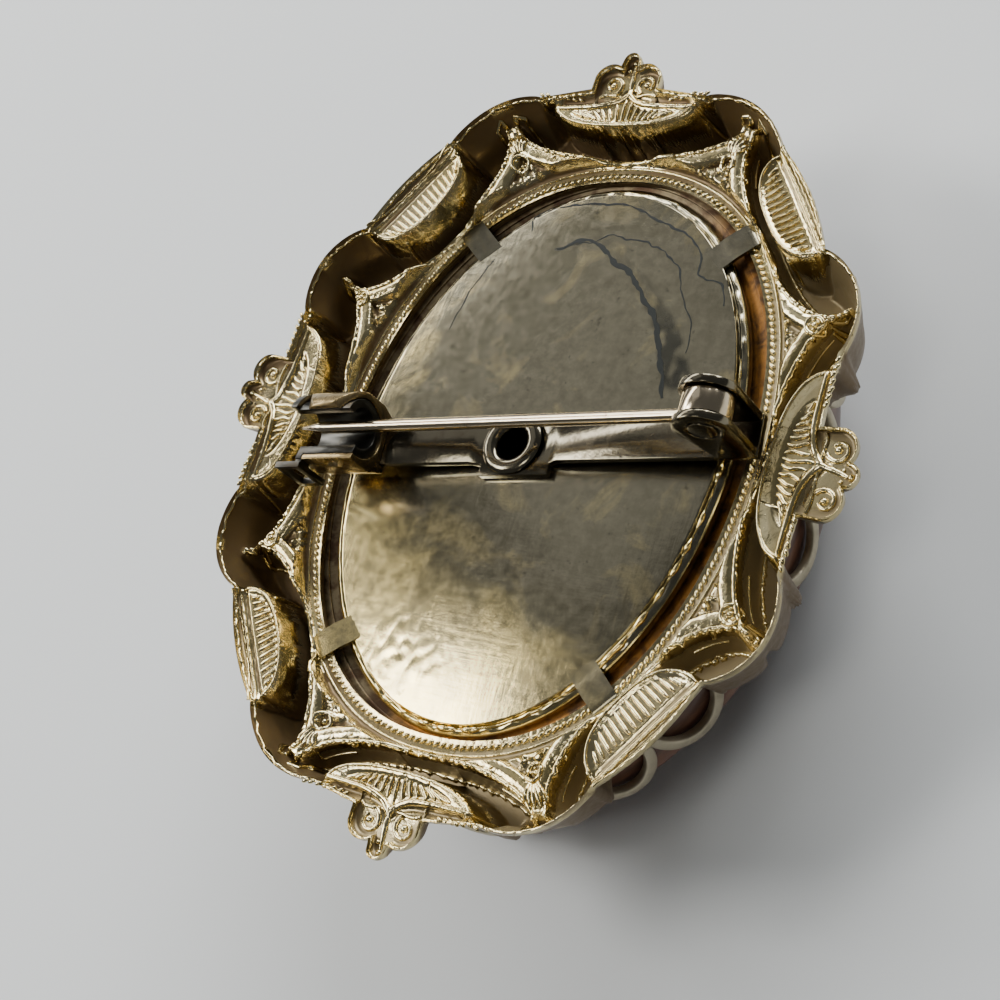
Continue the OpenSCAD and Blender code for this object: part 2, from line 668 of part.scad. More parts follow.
module catch_lock() color([0.3, 0.26, 0.2]) pin_frame() {
    lock_r = catch_r - catch_t - run;
    end_x = catch_x + catch_l + run;
    front = -catch_r - run - LEVER_T;
    low = LEVER_TOP - lever_h;
    difference() {
        union() {
            along_bar(catch_x + run, catch_l + COLLAR_T) circle(r = lock_r, $fn = 96);
            along_bar(end_x, COLLAR_T) circle(r = catch_r - run, $fn = 96);
        }
        along_bar(catch_x - COLLAR_T, catch_l + COLLAR_T * 3) {
            circle(r = lock_r - lock_t, $fn = 96);
            mouth();
        }
    }
    along_bar(end_x, COLLAR_T)
        translate([front, -ARM_W / 2]) square([lock_t + LEVER_T, ARM_W]);
    difference() {
        along_bar(end_x, lever_l) translate([front, low]) square([LEVER_T, lever_h]);
        along_bar(end_x + LEVER_T, lever_l - 2 * LEVER_T)
            translate([front - LEVER_T, low + LEVER_T]) square([LEVER_T * 3, lever_h - 2 * LEVER_T]);
    }
}

cameo_relief();
cameo_stone();
setting();
frame();
back_plate();
pin_bar();
eyelet();
catch();
catch_lock();
pin_stem();
hinge_pin();
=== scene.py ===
# Looks of an oval cameo brooch that lies on its carved face, seen from behind
import math

import bmesh
import bpy
import numpy as np
from mathutils import Matrix, Vector


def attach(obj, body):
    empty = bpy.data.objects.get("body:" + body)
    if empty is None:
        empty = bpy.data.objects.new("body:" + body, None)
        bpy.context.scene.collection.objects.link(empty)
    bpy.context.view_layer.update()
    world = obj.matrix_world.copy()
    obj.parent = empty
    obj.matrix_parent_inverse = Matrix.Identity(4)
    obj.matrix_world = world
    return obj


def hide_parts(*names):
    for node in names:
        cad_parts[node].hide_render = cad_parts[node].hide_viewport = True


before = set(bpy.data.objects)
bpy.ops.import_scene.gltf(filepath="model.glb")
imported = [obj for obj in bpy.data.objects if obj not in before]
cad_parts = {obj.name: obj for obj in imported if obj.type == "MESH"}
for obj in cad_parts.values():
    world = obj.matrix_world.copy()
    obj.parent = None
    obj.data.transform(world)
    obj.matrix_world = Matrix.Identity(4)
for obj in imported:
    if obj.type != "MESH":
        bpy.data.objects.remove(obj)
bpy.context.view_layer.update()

bl_info = {
    "name": "Cameo brooch",
    "version": (1, 0, 0),
    "blender": (4, 5, 0),
    "location": "3D View > Sidebar > Brooch",
    "description": "Builds the looks of an oval cameo brooch around its packed parts",
    "category": "Object",
}

MM = 0.001

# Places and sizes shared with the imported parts, in millimetres over the floor
RIM_Z = 12.10
RING_Z = 9.70
STONE_BACK_Z = 7.20
SEAT_Z = 7.23
SEAT_T = 0.60
PLATE_Z = 10.45
STONE_A = 15.0
STONE_B = 20.0
WALL_IN = 0.12
WALL_T = 0.55
DOME_R = 100.0
RELIEF_H = 1.8
DOME_Z = RELIEF_H + DOME_R
HALF_W = 18.0
HALF_L = 22.1
WINDOW_A = 13.15
WINDOW_B = 17.0
WINDOW_CURVE = 2.2
PLATE_A = 12.3
PLATE_B = 16.8
PLATE_T = 0.45
PLATE_DOME_R = 150.0
TAB_TURN = 48.0
EYELET = (-0.4, -0.55)


# Arrays and meshes

def ramp(v, a, b):
    """Smooth step from 0 at a to 1 at b"""
    t = np.clip((v - a) / (b - a), 0, 1)
    return t * t * (3 - 2 * t)


def mix(a, b, t):
    return a + (b - a) * t


def bell(v, width):
    """1 at 0, falling off smoothly on both sides"""
    return np.exp(-(v / width) ** 2)


def full_turn(count):
    """Even directions once round, in radians"""
    return np.arange(count) * math.tau / count


def wrinkles(x, y, size, seed, octaves=3):
    """Smooth uneven noise from crossing waves, about -1 to 1"""
    rng = np.random.default_rng(seed)
    total = np.zeros_like(x)
    for k in range(octaves * 6):
        turn = rng.uniform(0, math.tau)
        pitch = size / (1.6 ** (k % octaves))
        phase = rng.uniform(0, math.tau)
        along = x * math.cos(turn) + y * math.sin(turn)
        total += np.sin(along * math.tau / pitch + phase) / (1 + k % octaves)
    return total / (octaves * 1.9)


def new_object(name, points, faces, marks=None):
    """A mesh object from points in millimetres, with smooth shading and named vertex values"""
    mesh = bpy.data.meshes.new(name)
    mesh.from_pydata((np.asarray(points) * MM).tolist(), [], faces)
    for mark, values in (marks or {}).items():
        layer = mesh.attributes.new(mark, "FLOAT", "POINT")
        layer.data.foreach_set("value", np.asarray(values, np.float32).ravel())
    mesh.update()
    obj = bpy.data.objects.new(name, mesh)
    bpy.context.scene.collection.objects.link(obj)
    return obj


def clean(mesh, near, flat=None):
    """Joins near points, melts flat faces together where asked, and points the faces outwards"""
    work = bmesh.new()
    work.from_mesh(mesh)
    bmesh.ops.remove_doubles(work, verts=work.verts, dist=near)
    if flat:
        bmesh.ops.dissolve_limit(work, angle_limit=math.radians(flat), verts=work.verts, edges=work.edges)
    bmesh.ops.recalc_face_normals(work, faces=work.faces)
    work.to_mesh(mesh)
    work.free()
    mesh.shade_smooth()


def smooth_out(obj, angle=40):
    """Points the faces outwards and shades them smooth up to an angle"""
    clean(obj.data, 1e-7)
    obj.data.set_sharp_from_angle(angle=math.radians(angle))
    return obj


def set_mark(obj, mark, value):
    """Gives all points of an object the same named value"""
    layer = obj.data.attributes.new(mark, "FLOAT", "POINT")
    layer.data.foreach_set("value", np.full(len(obj.data.vertices), value, np.float32))
    return obj


def finish_piece(obj, body, slot, material, *nodes):
    """Gives a piece its material and says what it rides on and stands for"""
    obj.data.materials.clear()
    obj.data.materials.append(material)
    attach(obj, body)
    if nodes:
        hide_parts(*nodes)
    return obj


def ring_faces(rows, count, closed=False):
    """Quads between rows of points, where each row goes once round"""
    i = np.arange(count)
    j = np.arange(rows if closed else rows - 1)[:, None]
    here, there = j * count, ((j + 1) % rows) * count
    quads = np.stack([here + i, here + (i + 1) % count, there + (i + 1) % count, there + i], -1)
    return quads.reshape(-1, 4).tolist()


def capped_faces(rows, count):
    """Quads between rows of points, and one face over each end"""
    last = (rows - 1) * count
    caps = [list(range(count - 1, -1, -1)), list(range(last, last + count))]
    return ring_faces(rows, count) + caps


def oval_rows(rows, count):
    """Points of oval rows, each given as half width, half length and height"""
    turn = full_turn(count)
    return np.concatenate([
        np.stack([a * np.cos(turn), b * np.sin(turn), np.broadcast_to(z, count)], -1) for a, b, z in rows])


def rounded(rows, radius, steps=4):
    """Rounds the corners of a closed row of sections, each half width, half length and height"""
    out = []
    rows = [np.array(r, float) for r in rows]
    for before, here, after in zip(rows[-1:] + rows[:-1], rows, rows[1:] + rows[:1]):
        back, on = before - here, after - here
        cut = min(radius, np.linalg.norm(back) * 0.45, np.linalg.norm(on) * 0.45)
        start = here + back / np.linalg.norm(back) * cut
        end = here + on / np.linalg.norm(on) * cut
        for t in np.linspace(0, 1, steps):
            out.append((1 - t) ** 2 * start + 2 * t * (1 - t) * here + t * t * end)
    return out


def join_meshes(name, parts):
    """One object from lists of points and faces, with the vertex values of each"""
    points, faces, marks, first = [], [], {}, 0
    for part in parts:
        points.append(part[0])
        faces += [[v + first for v in f] for f in part[1]]
        for mark, values in (part[2] if len(part) > 2 else {}).items():
            marks.setdefault(mark, []).append(values)
        first += len(part[0])
    return new_object(name, np.concatenate(points), faces,
        {mark: np.concatenate(values) for mark, values in marks.items()})


def fan(first, sides, tip, flip=False):
    """Triangles from a ring of points to one tip"""
    ring = [(first + i, first + (i + 1) % sides) for i in range(sides)]
    return [[b, a, tip] if flip else [a, b, tip] for a, b in ring]


def bead_part(centre, along, across, up, sizes, rings=4, sides=10):
    """A low bead: half of an egg on its own three axes"""
    centre, along, across, up = (np.array(v, float) for v in (centre, along, across, up))
    points = []
    for k in range(rings):
        rise = math.pi / 2 * k / rings
        for a in full_turn(sides):
            flat = along * sizes[0] * math.cos(a) + across * sizes[1] * math.sin(a)
            points.append(centre + math.cos(rise) * flat + up * sizes[2] * math.sin(rise))
    points += [centre + up * sizes[2], centre - up * sizes[2] * 0.3]
    faces = ring_faces(rings, sides)
    faces += fan((rings - 1) * sides, sides, rings * sides)
    faces += fan(0, sides, rings * sides + 1, True)
    return np.array(points), faces


def tube_part(path, radii, sides=12, flat=1.0, normal=None):
    """A closed tube along points, with a radius at each; flat squashes it towards its normal"""
    path = np.array(path, float)
    radii = np.broadcast_to(np.asarray(radii, float), len(path))
    way = np.gradient(path, axis=0)
    way /= np.linalg.norm(way, axis=1)[:, None]
    normal = np.array([0, 0, 1.0]) if normal is None else np.array(normal, float)
    normal = np.broadcast_to(normal, path.shape)
    side = np.cross(way, normal)
    side /= np.linalg.norm(side, axis=1)[:, None]
    up = np.cross(side, way)
    turn = full_turn(sides)
    rows = (path[:, None] + radii[:, None, None] * (
        side[:, None] * np.cos(turn)[None, :, None] + up[:, None] * np.sin(turn)[None, :, None] * flat))
    points = np.concatenate([rows.reshape(-1, 3), path[:1], path[-1:]])
    faces = ring_faces(len(path), sides)
    faces += fan(0, sides, len(points) - 2, True)
    faces += fan((len(path) - 1) * sides, sides, len(points) - 1)
    return points, faces


def softened(node, name, width, segments=2):
    """A finer copy of a packed metal piece, with its edges rounded over"""
    obj = bpy.data.objects.new(name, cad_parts[node].data.copy())
    bpy.context.scene.collection.objects.link(obj)
    clean(obj.data, 1e-6, 1.5)
    bevel = obj.modifiers.new("Rounded edges", "BEVEL")
    bevel.width = width * MM
    bevel.segments = segments
    bevel.limit_method = "ANGLE"
    bevel.angle_limit = math.radians(32)
    bevel.use_clamp_overlap = True
    bevel.harden_normals = True
    bpy.context.view_layer.update()
    done = bpy.data.meshes.new_from_object(obj.evaluated_get(bpy.context.evaluated_depsgraph_get()))
    obj.modifiers.clear()
    obj.data = done
    return obj


# Values that a user can change

def colour_value(name, description, default):
    """A colour, for a group of properties"""
    return bpy.props.FloatVectorProperty(name=name, description=description, default=default,
        subtype="COLOR")


def length_value(name, description, default):
    """A length in millimetres, for a group of properties"""
    return bpy.props.FloatProperty(name=name, description=description, default=default * MM,
        unit="LENGTH")


# Material nodes

class Finish:
    """A material under construction, with short calls to add and join its nodes"""

    def __init__(self, name):
        self.material = bpy.data.materials.new(name)
        self.material.use_nodes = True
        self.tree = self.material.node_tree
        self.shader = self.tree.nodes["Principled BSDF"]
        self.place = self.add("ShaderNodeTexCoord").outputs["Object"]

    def add(self, kind, inputs=None, **settings):
        node = self.tree.nodes.new(kind)
        for key, value in settings.items():
            setattr(node, key, value)
        for key, value in (inputs or {}).items():
            self.put(node.inputs[key], value)
        return node

    def put(self, socket, value):
        if isinstance(value, bpy.types.NodeSocket):
            self.tree.links.new(value, socket)
        else:
            socket.default_value = value

    def set(self, **inputs):
        for key, value in inputs.items():
            self.put(self.shader.inputs[key.replace("_", " ")], value)

    def math(self, operation, a, b=0.0, clamp=False):
        node = self.add("ShaderNodeMath", operation=operation, use_clamp=clamp)
        self.put(node.inputs[0], a)
        self.put(node.inputs[1], b)
        return node.outputs[0]

    def plus(self, a, b, clamp=False):
        return self.math("ADD", a, b, clamp)

    def times(self, a, b):
        return self.math("MULTIPLY", a, b)

    def spread(self, value, low, high, to_low=0.0, to_high=1.0):
        node = self.add("ShaderNodeMapRange", {"Value": value, "From Min": low, "From Max": high,
            "To Min": to_low, "To Max": to_high}, interpolation_type="SMOOTHSTEP")
        return node.outputs["Result"]

    def noise(self, size, detail=3.0, roughness=0.5, distortion=0.0, stretch=None, seed=0.0):
        """Cloudy noise whose lumps are about size millimetres across"""
        place = self.place
        if stretch or seed:
            place = self.add("ShaderNodeMapping", {"Vector": place, "Scale": stretch or (1, 1, 1),
                "Location": (seed, seed * 0.7, seed * 0.3)}).outputs["Vector"]
        return self.add("ShaderNodeTexNoise", {"Vector": place, "Scale": 1 / (size * MM), "Detail": detail,
            "Roughness": roughness, "Distortion": distortion}).outputs["Fac"]

    def mark(self, name):
        return self.add("ShaderNodeAttribute", attribute_name=name).outputs["Fac"]

    def blend(self, share, low, high, way="MIX"):
        node = self.add("ShaderNodeMix", data_type="RGBA", blend_type=way)
        self.put(node.inputs["Factor"], share)
        self.put(node.inputs["A"], (*low, 1) if isinstance(low, tuple) and len(low) == 3 else low)
        self.put(node.inputs["B"], (*high, 1) if isinstance(high, tuple) and len(high) == 3 else high)
        return node.outputs["Result"]

    def bump(self, height, depth, strength=1.0, normal=None):
        """Bump whose full height is depth millimetres"""
        node = self.add("ShaderNodeBump", {"Height": height, "Distance": depth * MM, "Strength": strength})
        if normal is not None:
            self.put(node.inputs["Normal"], normal)
        return node.outputs["Normal"]


def gilt_finish(look):
    """Stamped gilt sheet: bright edges, brown tarnished hollows painted lighter on one side as painted light,
    painted brown shade on the sheet's front, a fine hammered grain
    """
    f = Finish("gilt_sheet")
    # The mark holds real tarnish on the back and painted shade on the front of the sheet
    hollow = f.mark("hollow")
    grain = f.noise(0.35, 4.0, 0.6)
    cloud = f.noise(4.0, 3.0, 0.6, 0.6)
    brown = f.plus(hollow, f.spread(cloud, 0.3, 0.75, -0.1, 0.12), clamp=True)
    gold = f.blend(f.spread(cloud, 0.35, 0.7), tuple(look.gilt), tuple(look.gilt_pale))
    # Painted light: hollows on the +X side and the -Y end are painted a lighter yellow-brown, as if lit
    deep = f.blend(f.mark("lit_side"), tuple(look.hollow_brown), tuple(look.hollow_olive))
    # Tarnish, painted shade on the front and painted light in the hollows on one side all go into this colour
    worn = f.blend(f.spread(brown, 0.25, 0.92), gold, deep)
    f.set(Base_Color=worn, Metallic=f.spread(brown, 0.5, 1.0, 1.0, 0.6),
        Roughness=f.plus(f.spread(brown, 0.45, 1.0, 0.16, 0.42), f.spread(grain, 0.3, 0.7, -0.03, 0.06)))
    fine = f.bump(grain, 0.035, f.spread(brown, 0.1, 0.8, 0.8, 0.15))
    hammered = f.noise(0.75, 2.0, 0.5, 0.3, seed=3.0)
    f.set(Normal=f.bump(hammered, 0.1, f.spread(brown, 0.1, 0.8, 0.7, 0.05), fine))
    return f.material


def plate_finish(look):
    """Old polished plate: fine mottled tarnish, a stained bank, a painted warm highlight at one end, fine
    scratches
    """
    f = Finish("tarnished_plate")
    cloud = f.noise(5.0, 5.0, 0.62, 0.8)
    speck = f.noise(0.7, 4.0, 0.7)
    # Painted highlight: the warm mark paints the plate's -Y end and -X side bright gold, standing in for the
    # light's reflection
    warm = f.plus(f.mark("warm"), f.spread(cloud, 0.35, 0.7, -0.35, 0.3), clamp=True)
    fleck = f.plus(f.times(f.noise(0.7, 4.0, 0.7, seed=5.0), 0.7), f.times(cloud, 0.3))
    clean = f.blend(f.spread(fleck, 0.3, 0.7, 0.15, 0.85), tuple(look.plate_grey), tuple(look.plate_pale))
    highlighted = f.blend(f.spread(fleck, 0.36, 0.58, 0.6, 1.0), tuple(look.plate_grey), tuple(look.plate_highlight_gold))
    gold = f.blend(warm, clean, highlighted)
    stained = f.blend(f.times(f.mark("tide"), 0.86), gold, tuple(look.plate_stain))
    dots = f.blend(f.spread(speck, 0.62, 0.74, 0.0, 0.45), stained, tuple(look.plate_stain))
    rough = f.plus(f.spread(fleck, 0.3, 0.7, 0.155, 0.195), f.times(f.mark("tide"), 0.12))
    f.set(Base_Color=dots, Metallic=1.0, Roughness=rough)
    lines = f.noise(0.3, 3.0, 0.6, 0.0, (1.0, 0.04, 1.0))
    cross = f.noise(0.25, 3.0, 0.6, 0.0, (0.05, 0.8, 1.0), 7.0)
    f.set(Normal=f.bump(cross, 0.006, 0.5, f.bump(lines, 0.008, 0.5, f.bump(speck, 0.01, 0.4))))
    return f.material


def metal_finish(name, colour, stain, rough, stain_size=1.6, stained=(0.5, 0.8), grain=0.012):
    """A small metal piece: colour, patches of stain, fine drawing lines"""
    f = Finish(name)
    patch = f.spread(f.noise(stain_size, 4.0, 0.62, 0.7), *stained)
    f.set(Base_Color=f.blend(patch, tuple(colour), tuple(stain)), Metallic=1.0,
        Roughness=f.plus(f.times(patch, 0.18), rough))
    f.set(Normal=f.bump(f.noise(0.25, 3.0, 0.6), grain, 0.6))
    return f.material


def setting_finish(look):
    """Pale worn strip outside, brown varnish on the floor inside"""
    f = Finish("gallery_strip")
    inside = f.mark("inside")
    patch = f.noise(1.2, 4.0, 0.6, 0.5)
    pale = f.blend(f.spread(patch, 0.4, 0.75), tuple(look.strip_pale), tuple(look.strip_grey))
    varnish = f.blend(f.mark("amber"), tuple(look.floor_olive), tuple(look.floor_orange))
    rust = f.blend(f.spread(patch, 0.35, 0.65), varnish, tuple(look.floor_brown))
    f.set(Base_Color=f.blend(inside, pale, rust), Metallic=f.spread(inside, 0.0, 1.0, 0.7, 0.8),
        Roughness=f.spread(inside, 0.0, 1.0, 0.42, 0.4))
    f.set(Normal=f.bump(f.noise(0.3, 3.0, 0.6), 0.03, 0.6))
    return f.material


def stone_finish(look):
    """Brown banded stone, polished on its face"""
    f = Finish("banded_stone")
    band = f.noise(6.0, 4.0, 0.55, 1.5, (1.0, 0.5, 3.0))
    vein = f.noise(1.6, 5.0, 0.6, 0.4, (1.0, 1.0, 4.0), 2.0)
    brown = f.blend(f.spread(band, 0.3, 0.7), tuple(look.stone_dark), tuple(look.stone_light))
    f.set(Base_Color=f.blend(f.spread(vein, 0.45, 0.8, 0.0, 0.5), brown, tuple(look.stone_vein)),
        Roughness=f.spread(vein, 0.3, 0.7, 0.28, 0.4), Subsurface_Weight=0.12,
        Subsurface_Radius=(0.0012, 0.0005, 0.0003), Coat_Weight=0.35, Coat_Roughness=0.12)
    f.set(Normal=f.bump(f.noise(0.5, 3.0, 0.6), 0.01, 0.4))
    return f.material


def relief_finish(look):
    """Pale carved layer that lets the brown through where it is thin"""
    f = Finish("carved_layer")
    thin = f.math("SUBTRACT", 1.0, f.mark("rise"))
    cloud = f.noise(2.0, 4.0, 0.6, 0.5)
    pale = f.blend(f.spread(cloud, 0.35, 0.7), tuple(look.carving_pale), tuple(look.carving_warm))
    f.set(Base_Color=f.blend(f.spread(thin, 0.55, 1.0, 0.0, 0.6), pale, tuple(look.stone_light)),
        Roughness=f.spread(cloud, 0.3, 0.7, 0.34, 0.48), Subsurface_Weight=0.3,
        Subsurface_Radius=(0.0009, 0.0006, 0.0004), Coat_Weight=0.15, Coat_Roughness=0.25)
    f.set(Normal=f.bump(f.noise(0.35, 3.0, 0.6), 0.012, 0.5))
    return f.material


# Stamped frame

# Outline of one quarter: place across and along, and bulge of the edge that follows,
# as shares of the half width, the half length and the half width
OUTLINE = np.array([
    [1, 0, 0], [0.987, 0.271, 0.082], [0.854, 0.534, 0.028],
    [0.621, 0.8145, 0.062], [0.316, 0.959, 0], [0, 1, 0]])
# Cartouches of one quarter: middle of the outer edge as shares across and along, direction, then
# as shares of the half width: scroll's half length and depth, lens's half length and depth,
# and half length of the outer edge
SIDE, CORNER, END = 0, 1, 2
CARTOUCHES = np.array([
    [0.987, 0, 0, 0.515, 0.2, 0.285, 0.135, 0.335],
    [0.737, 0.674, 34, 0.388, 0.2, 0.2, 0.139, 0.208],
    [0, 0.959, 90, 0.455, 0.177, 0.265, 0.096, 0.316]])
# All eight: kind, and the side of the brooch across and along that it is mirrored to
PLACES = ((SIDE, 1, -1), (SIDE, -1, 1), (END, 1, 1), (END, -1, -1),
    (CORNER, 1, 1), (CORNER, -1, 1), (CORNER, 1, -1), (CORNER, -1, -1))
# Finials: their tip, compact loop and wide loop, each along, out and radius, in millimetres
# from the middle of the cartouche's outer edge
FINIALS = {SIDE: ((0.4, 2.12, 0.62), (-0.95, 1.3, 1.05), (1.8, 1.25, 1.05)),
    END: ((0.1, 2.5, 0.52), (-1.1, 1.2, 1.05), (1.2, 1.2, 1.05))}
SHEET_T = 0.45
RING_W = 1.0
RING_DEPTH = 2.4
TROUGH_DEPTH = 3.7
LOBE_DEPTH = 2.9
LENS_DEPTH = 0.4
RIDGE_DEPTH = RING_DEPTH * 0.65
PANEL_DEPTH = RING_DEPTH * 0.83
BORDER_DEPTH = LENS_DEPTH * 1.4
BAND_W = 0.74
EDGE_W = 1.6
BORDER_EDGE_W = 0.4
LOBE_W = 0.7
RIM_CURVE = 1.6
FRAME_SKEW = 0.02
SCROLL_CURVE = 2.5
# How far in the ribs reach on each kind of lens, as a share of the lens
RIB_SHARE = np.array([0.68, 0.9, 0.8])
# How the ribs of each kind of lens fan out, and how a rib thins towards its ends
RIB_SPLAY = {SIDE: 0.22, CORNER: 0.08, END: 0.3}
RIB_TAPER = np.array([0.5, 0.9, 1, 1, 1, 0.9, 0.5])
# Points of the ornamented panels nearest to the hollow lobes, in one quarter
PANEL_TIPS = ((17.3, 9.1), (7.9, 19.9))
ROSETTE_IN = 2.35
CHASING_H = 0.17
RIB_GROUND_DEPTH = 0.13
GROOVE_DEPTH = 0.2


def outline_radius(x, y):
    """Radius of the frame's outer edge in the direction of each point, finials included"""
    turn = np.arctan2(np.abs(y), np.abs(x))
    spots = OUTLINE[:, :2] * (HALF_W, HALF_L)
    i = np.clip(np.searchsorted(np.arctan2(spots[:, 1], spots[:, 0]), turn) - 1, 0, len(spots) - 2)
    start, run = spots[i], spots[i + 1] - spots[i]
    way = np.stack([np.cos(turn), np.sin(turn)], -1)
    t = -cross(way, start) / cross(way, run)
    bulge = OUTLINE[i, 2] * HALF_W * np.maximum(0, np.sin(np.pi * np.clip(t, 0, 1))) ** 0.8
    r = np.linalg.norm(start + run * t[..., None], axis=-1) + bulge
    wide = np.where(x * y < 0, 1, -1)
    for kind, out, along in ((SIDE, np.cos(turn), np.sin(turn)), (END, np.sin(turn), np.cos(turn))):
        base = CARTOUCHES[kind, 0] * HALF_W if kind == SIDE else CARTOUCHES[kind, 1] * HALF_L
        for u, v, radius in FINIALS[kind]:
            centre = np.stack([np.full_like(out, base + v), wide * u * np.ones_like(out)], -1)
            ray = np.stack([out, along], -1)
            middle = (centre * ray).sum(-1)
            inside = radius ** 2 - cross(centre, ray) ** 2
            r = np.maximum(r, np.where(inside > 0, middle + np.sqrt(np.maximum(inside, 0)), 0))
    return r


def cross(a, b):
    """Cross product of flat vectors"""
    return a[..., 0] * b[..., 1] - a[..., 1] * b[..., 0]


def window_radius(x, y):
    """Radius of the window in the direction of each point"""
    turn = np.arctan2(np.abs(y), np.abs(x))
    shares = (np.cos(turn) / WINDOW_A) ** WINDOW_CURVE + (np.sin(turn) / WINDOW_B) ** WINDOW_CURVE
    return shares ** (-1 / WINDOW_CURVE)


def crest_line(kind, u):
    """Where the band outside a lens's ribs runs: two bows that rise to a point below a finial"""
    return np.where(kind == CORNER, -0.5, -0.5 + 0.95 * np.exp(-np.abs(u) / 0.8))


def chasing(x, y):
    """Small worked relief of the panels' ground, strongest near the rosettes"""
    worm = ramp(np.abs(wrinkles(x, y, 1.5, 41, 2)), 0.2, 0.03)
    lump = ramp(wrinkles(x, y, 0.95, 42, 2), 0.1, 0.45)
    far = np.min([np.hypot(np.abs(x) - across * (1 - ROSETTE_IN / math.hypot(across, up)),
        np.abs(y) - up * (1 - ROSETTE_IN / math.hypot(across, up))) for across, up in PANEL_TIPS], axis=0)
    return (CHASING_H * worm + CHASING_H * lump) * mix(0.35, 1, ramp(far, 4.6, 2.0))


def sheet_back(x, y):
    """Height of the stamped sheet's back over the rim"""
    return sheet_fields(x, y)[0]


def cartouche_axes(x, y):
    """Kind of the nearest cartouche, and each point's place in it: along and out of its outer edge,
    distance outside its scroll, share of its lens, and distance past the end of its outer edge"""
    x0, y0 = np.abs(x), np.abs(y)
    axes = []
    for across, up, turn, scroll_l, scroll_w, lens_l, lens_w, end in CARTOUCHES:
        c, s = math.cos(math.radians(turn)), math.sin(math.radians(turn))
        dx, dy = x0 - across * HALF_W, y0 - up * HALF_L
        u, v = np.abs(dy * c - dx * s), dx * c + dy * s
        in_v = np.maximum(0, -v)
        long, deep = scroll_l * HALF_W, scroll_w * HALF_W
        scroll = np.maximum(in_bow(u, in_v, long, deep), 1e-3)
        steep = scroll ** (1 - SCROLL_CURVE) * np.hypot((u / long) ** (SCROLL_CURVE - 1) / long,
            (in_v / deep) ** (SCROLL_CURVE - 1) / deep)
        lens = in_bow(u, in_v, lens_l * HALF_W, lens_w * HALF_W)
        axes.append([u, v, (scroll - 1) / np.maximum(steep, 0.02), lens, u - end * HALF_W])
    axes = np.array(axes)
    kind = np.argmin(axes[:, 2], axis=0)
    return kind, np.take_along_axis(axes, kind[None, None], 0)[0]


def in_bow(u, in_v, half, deep):
    """Share of the way from a bow's middle to its line"""
    return ((u / half) ** SCROLL_CURVE + (in_v / deep) ** SCROLL_CURVE) ** (1 / SCROLL_CURVE)


def sheet_fields(x, y):
    """Height of the sheet's back over the rim, and how much of its hollows' brown it has"""
    r = np.hypot(x, y)
    in_edge = r - window_radius(x, y)
    out_edge = np.maximum(0, outline_radius(x, y) - r)
    kind, (u, v, off, lens, past) = cartouche_axes(x, y)
    band = -RIDGE_DEPTH + 0.1 * np.sin(np.pi * np.clip(off / BAND_W, 0, 1))
    height = np.where(off < 0, mix(-RIDGE_DEPTH, -TROUGH_DEPTH, ramp(off, 0.0, -0.72)),
        mix(band, -PANEL_DEPTH, ramp(off, BAND_W, BAND_W + 0.16)))
    on_lens = ramp(lens, 1.14, 1.0)
    brown = ramp(off, -0.05, -0.4) * (1 - on_lens)
    height = height + chasing(x, y) * ramp(off, BAND_W, BAND_W + 0.35)
    height = mix(height, -LENS_DEPTH, on_lens)
    crest = crest_line(kind, u)
    ribbed = ramp(lens, RIB_SHARE[kind] + 0.06, RIB_SHARE[kind] - 0.04) * ramp(v - crest, -0.08, -0.3)
    height = height - RIB_GROUND_DEPTH * ribbed * on_lens
    brown = np.maximum(brown, ribbed * on_lens * 0.36)
    border = ramp(v, -0.35, 0.05) * ramp(past, 0.45, -0.2)
    height = mix(height, -BORDER_DEPTH, border)
    on_cartouche = ramp(past, 0.3, -0.5) * ramp(lens, 1.5, 1.1)
    groove = np.where(kind == CORNER, bell(v + 0.46, 0.17), 0.6 * bell(v - crest - 0.36, 0.15))
    height = height - GROOVE_DEPTH * groove * on_cartouche * ramp(out_edge, 0.1, 0.5)
    brown = np.maximum(brown * (1 - border), 0.5 * groove * on_cartouche * ramp(out_edge, 0.1, 0.5))
    in_lobe = ramp(past, -0.2, 0.45)
    lobe = ramp(out_edge, LOBE_W * 1.5, LOBE_W) * in_lobe
    brown = np.maximum(brown, lobe * ramp(out_edge, 0.08, 0.26))
    height = mix(height, -LOBE_DEPTH, lobe)
    edge = mix(BORDER_EDGE_W, EDGE_W, in_lobe)
    height = mix(height, 0, (1 - np.minimum(1, out_edge / edge)) ** RIM_CURVE)
    ring = -RING_DEPTH - 0.06 * bell(in_edge - 0.42, 0.3)
    on_ring = ramp(in_edge, RING_W * 1.35, RING_W)
    return mix(height, ring, on_ring), brown * (1 - on_ring)


def sheet_front(x, y):
    """Height of the sheet's front: the back moved in by the sheet's thickness in every direction"""
    out_edge = np.maximum(0, outline_radius(x, y) - np.hypot(x, y))
    thick = SHEET_T * mix(0.5, 1, ramp(out_edge, 0, 0.7))
    low = sheet_back(x, y) - thick
    for turn in np.arange(0, math.tau, math.pi / 4):
        beside = sheet_back(x + thick / 2 * math.cos(turn), y + thick / 2 * math.sin(turn))
        low = np.minimum(low, beside - thick * 0.6)
    return low


def skewed(x, y):
    """The frame's slight skew, which grows from the window to the rim"""
    near = window_radius(x, y)
    share = np.clip((np.hypot(x, y) - near) / (outline_radius(x, y) - near), 0, 1) * FRAME_SKEW
    return x - share * y, y - share * x


def on_sheet(x, y, lift=0.0):
    """Points on the sheet's back, lifted a little"""
    x, y = np.asarray(x, float), np.asarray(y, float)
    return np.stack([*skewed(x, y), RIM_Z + sheet_back(x, y) + lift], -1)


def from_cartouche(place, u, v):
    """From a cartouche's own axes, along and out of its outer edge, to the brooch's"""
    kind, across, along = place
    c, s = (f(math.radians(CARTOUCHES[kind, 2])) for f in (math.cos, math.sin))
    x = CARTOUCHES[kind, 0] * HALF_W + np.asarray(v) * c - np.asarray(u) * s
    y = CARTOUCHES[kind, 1] * HALF_L + np.asarray(v) * s + np.asarray(u) * c
    return x * across, y * along


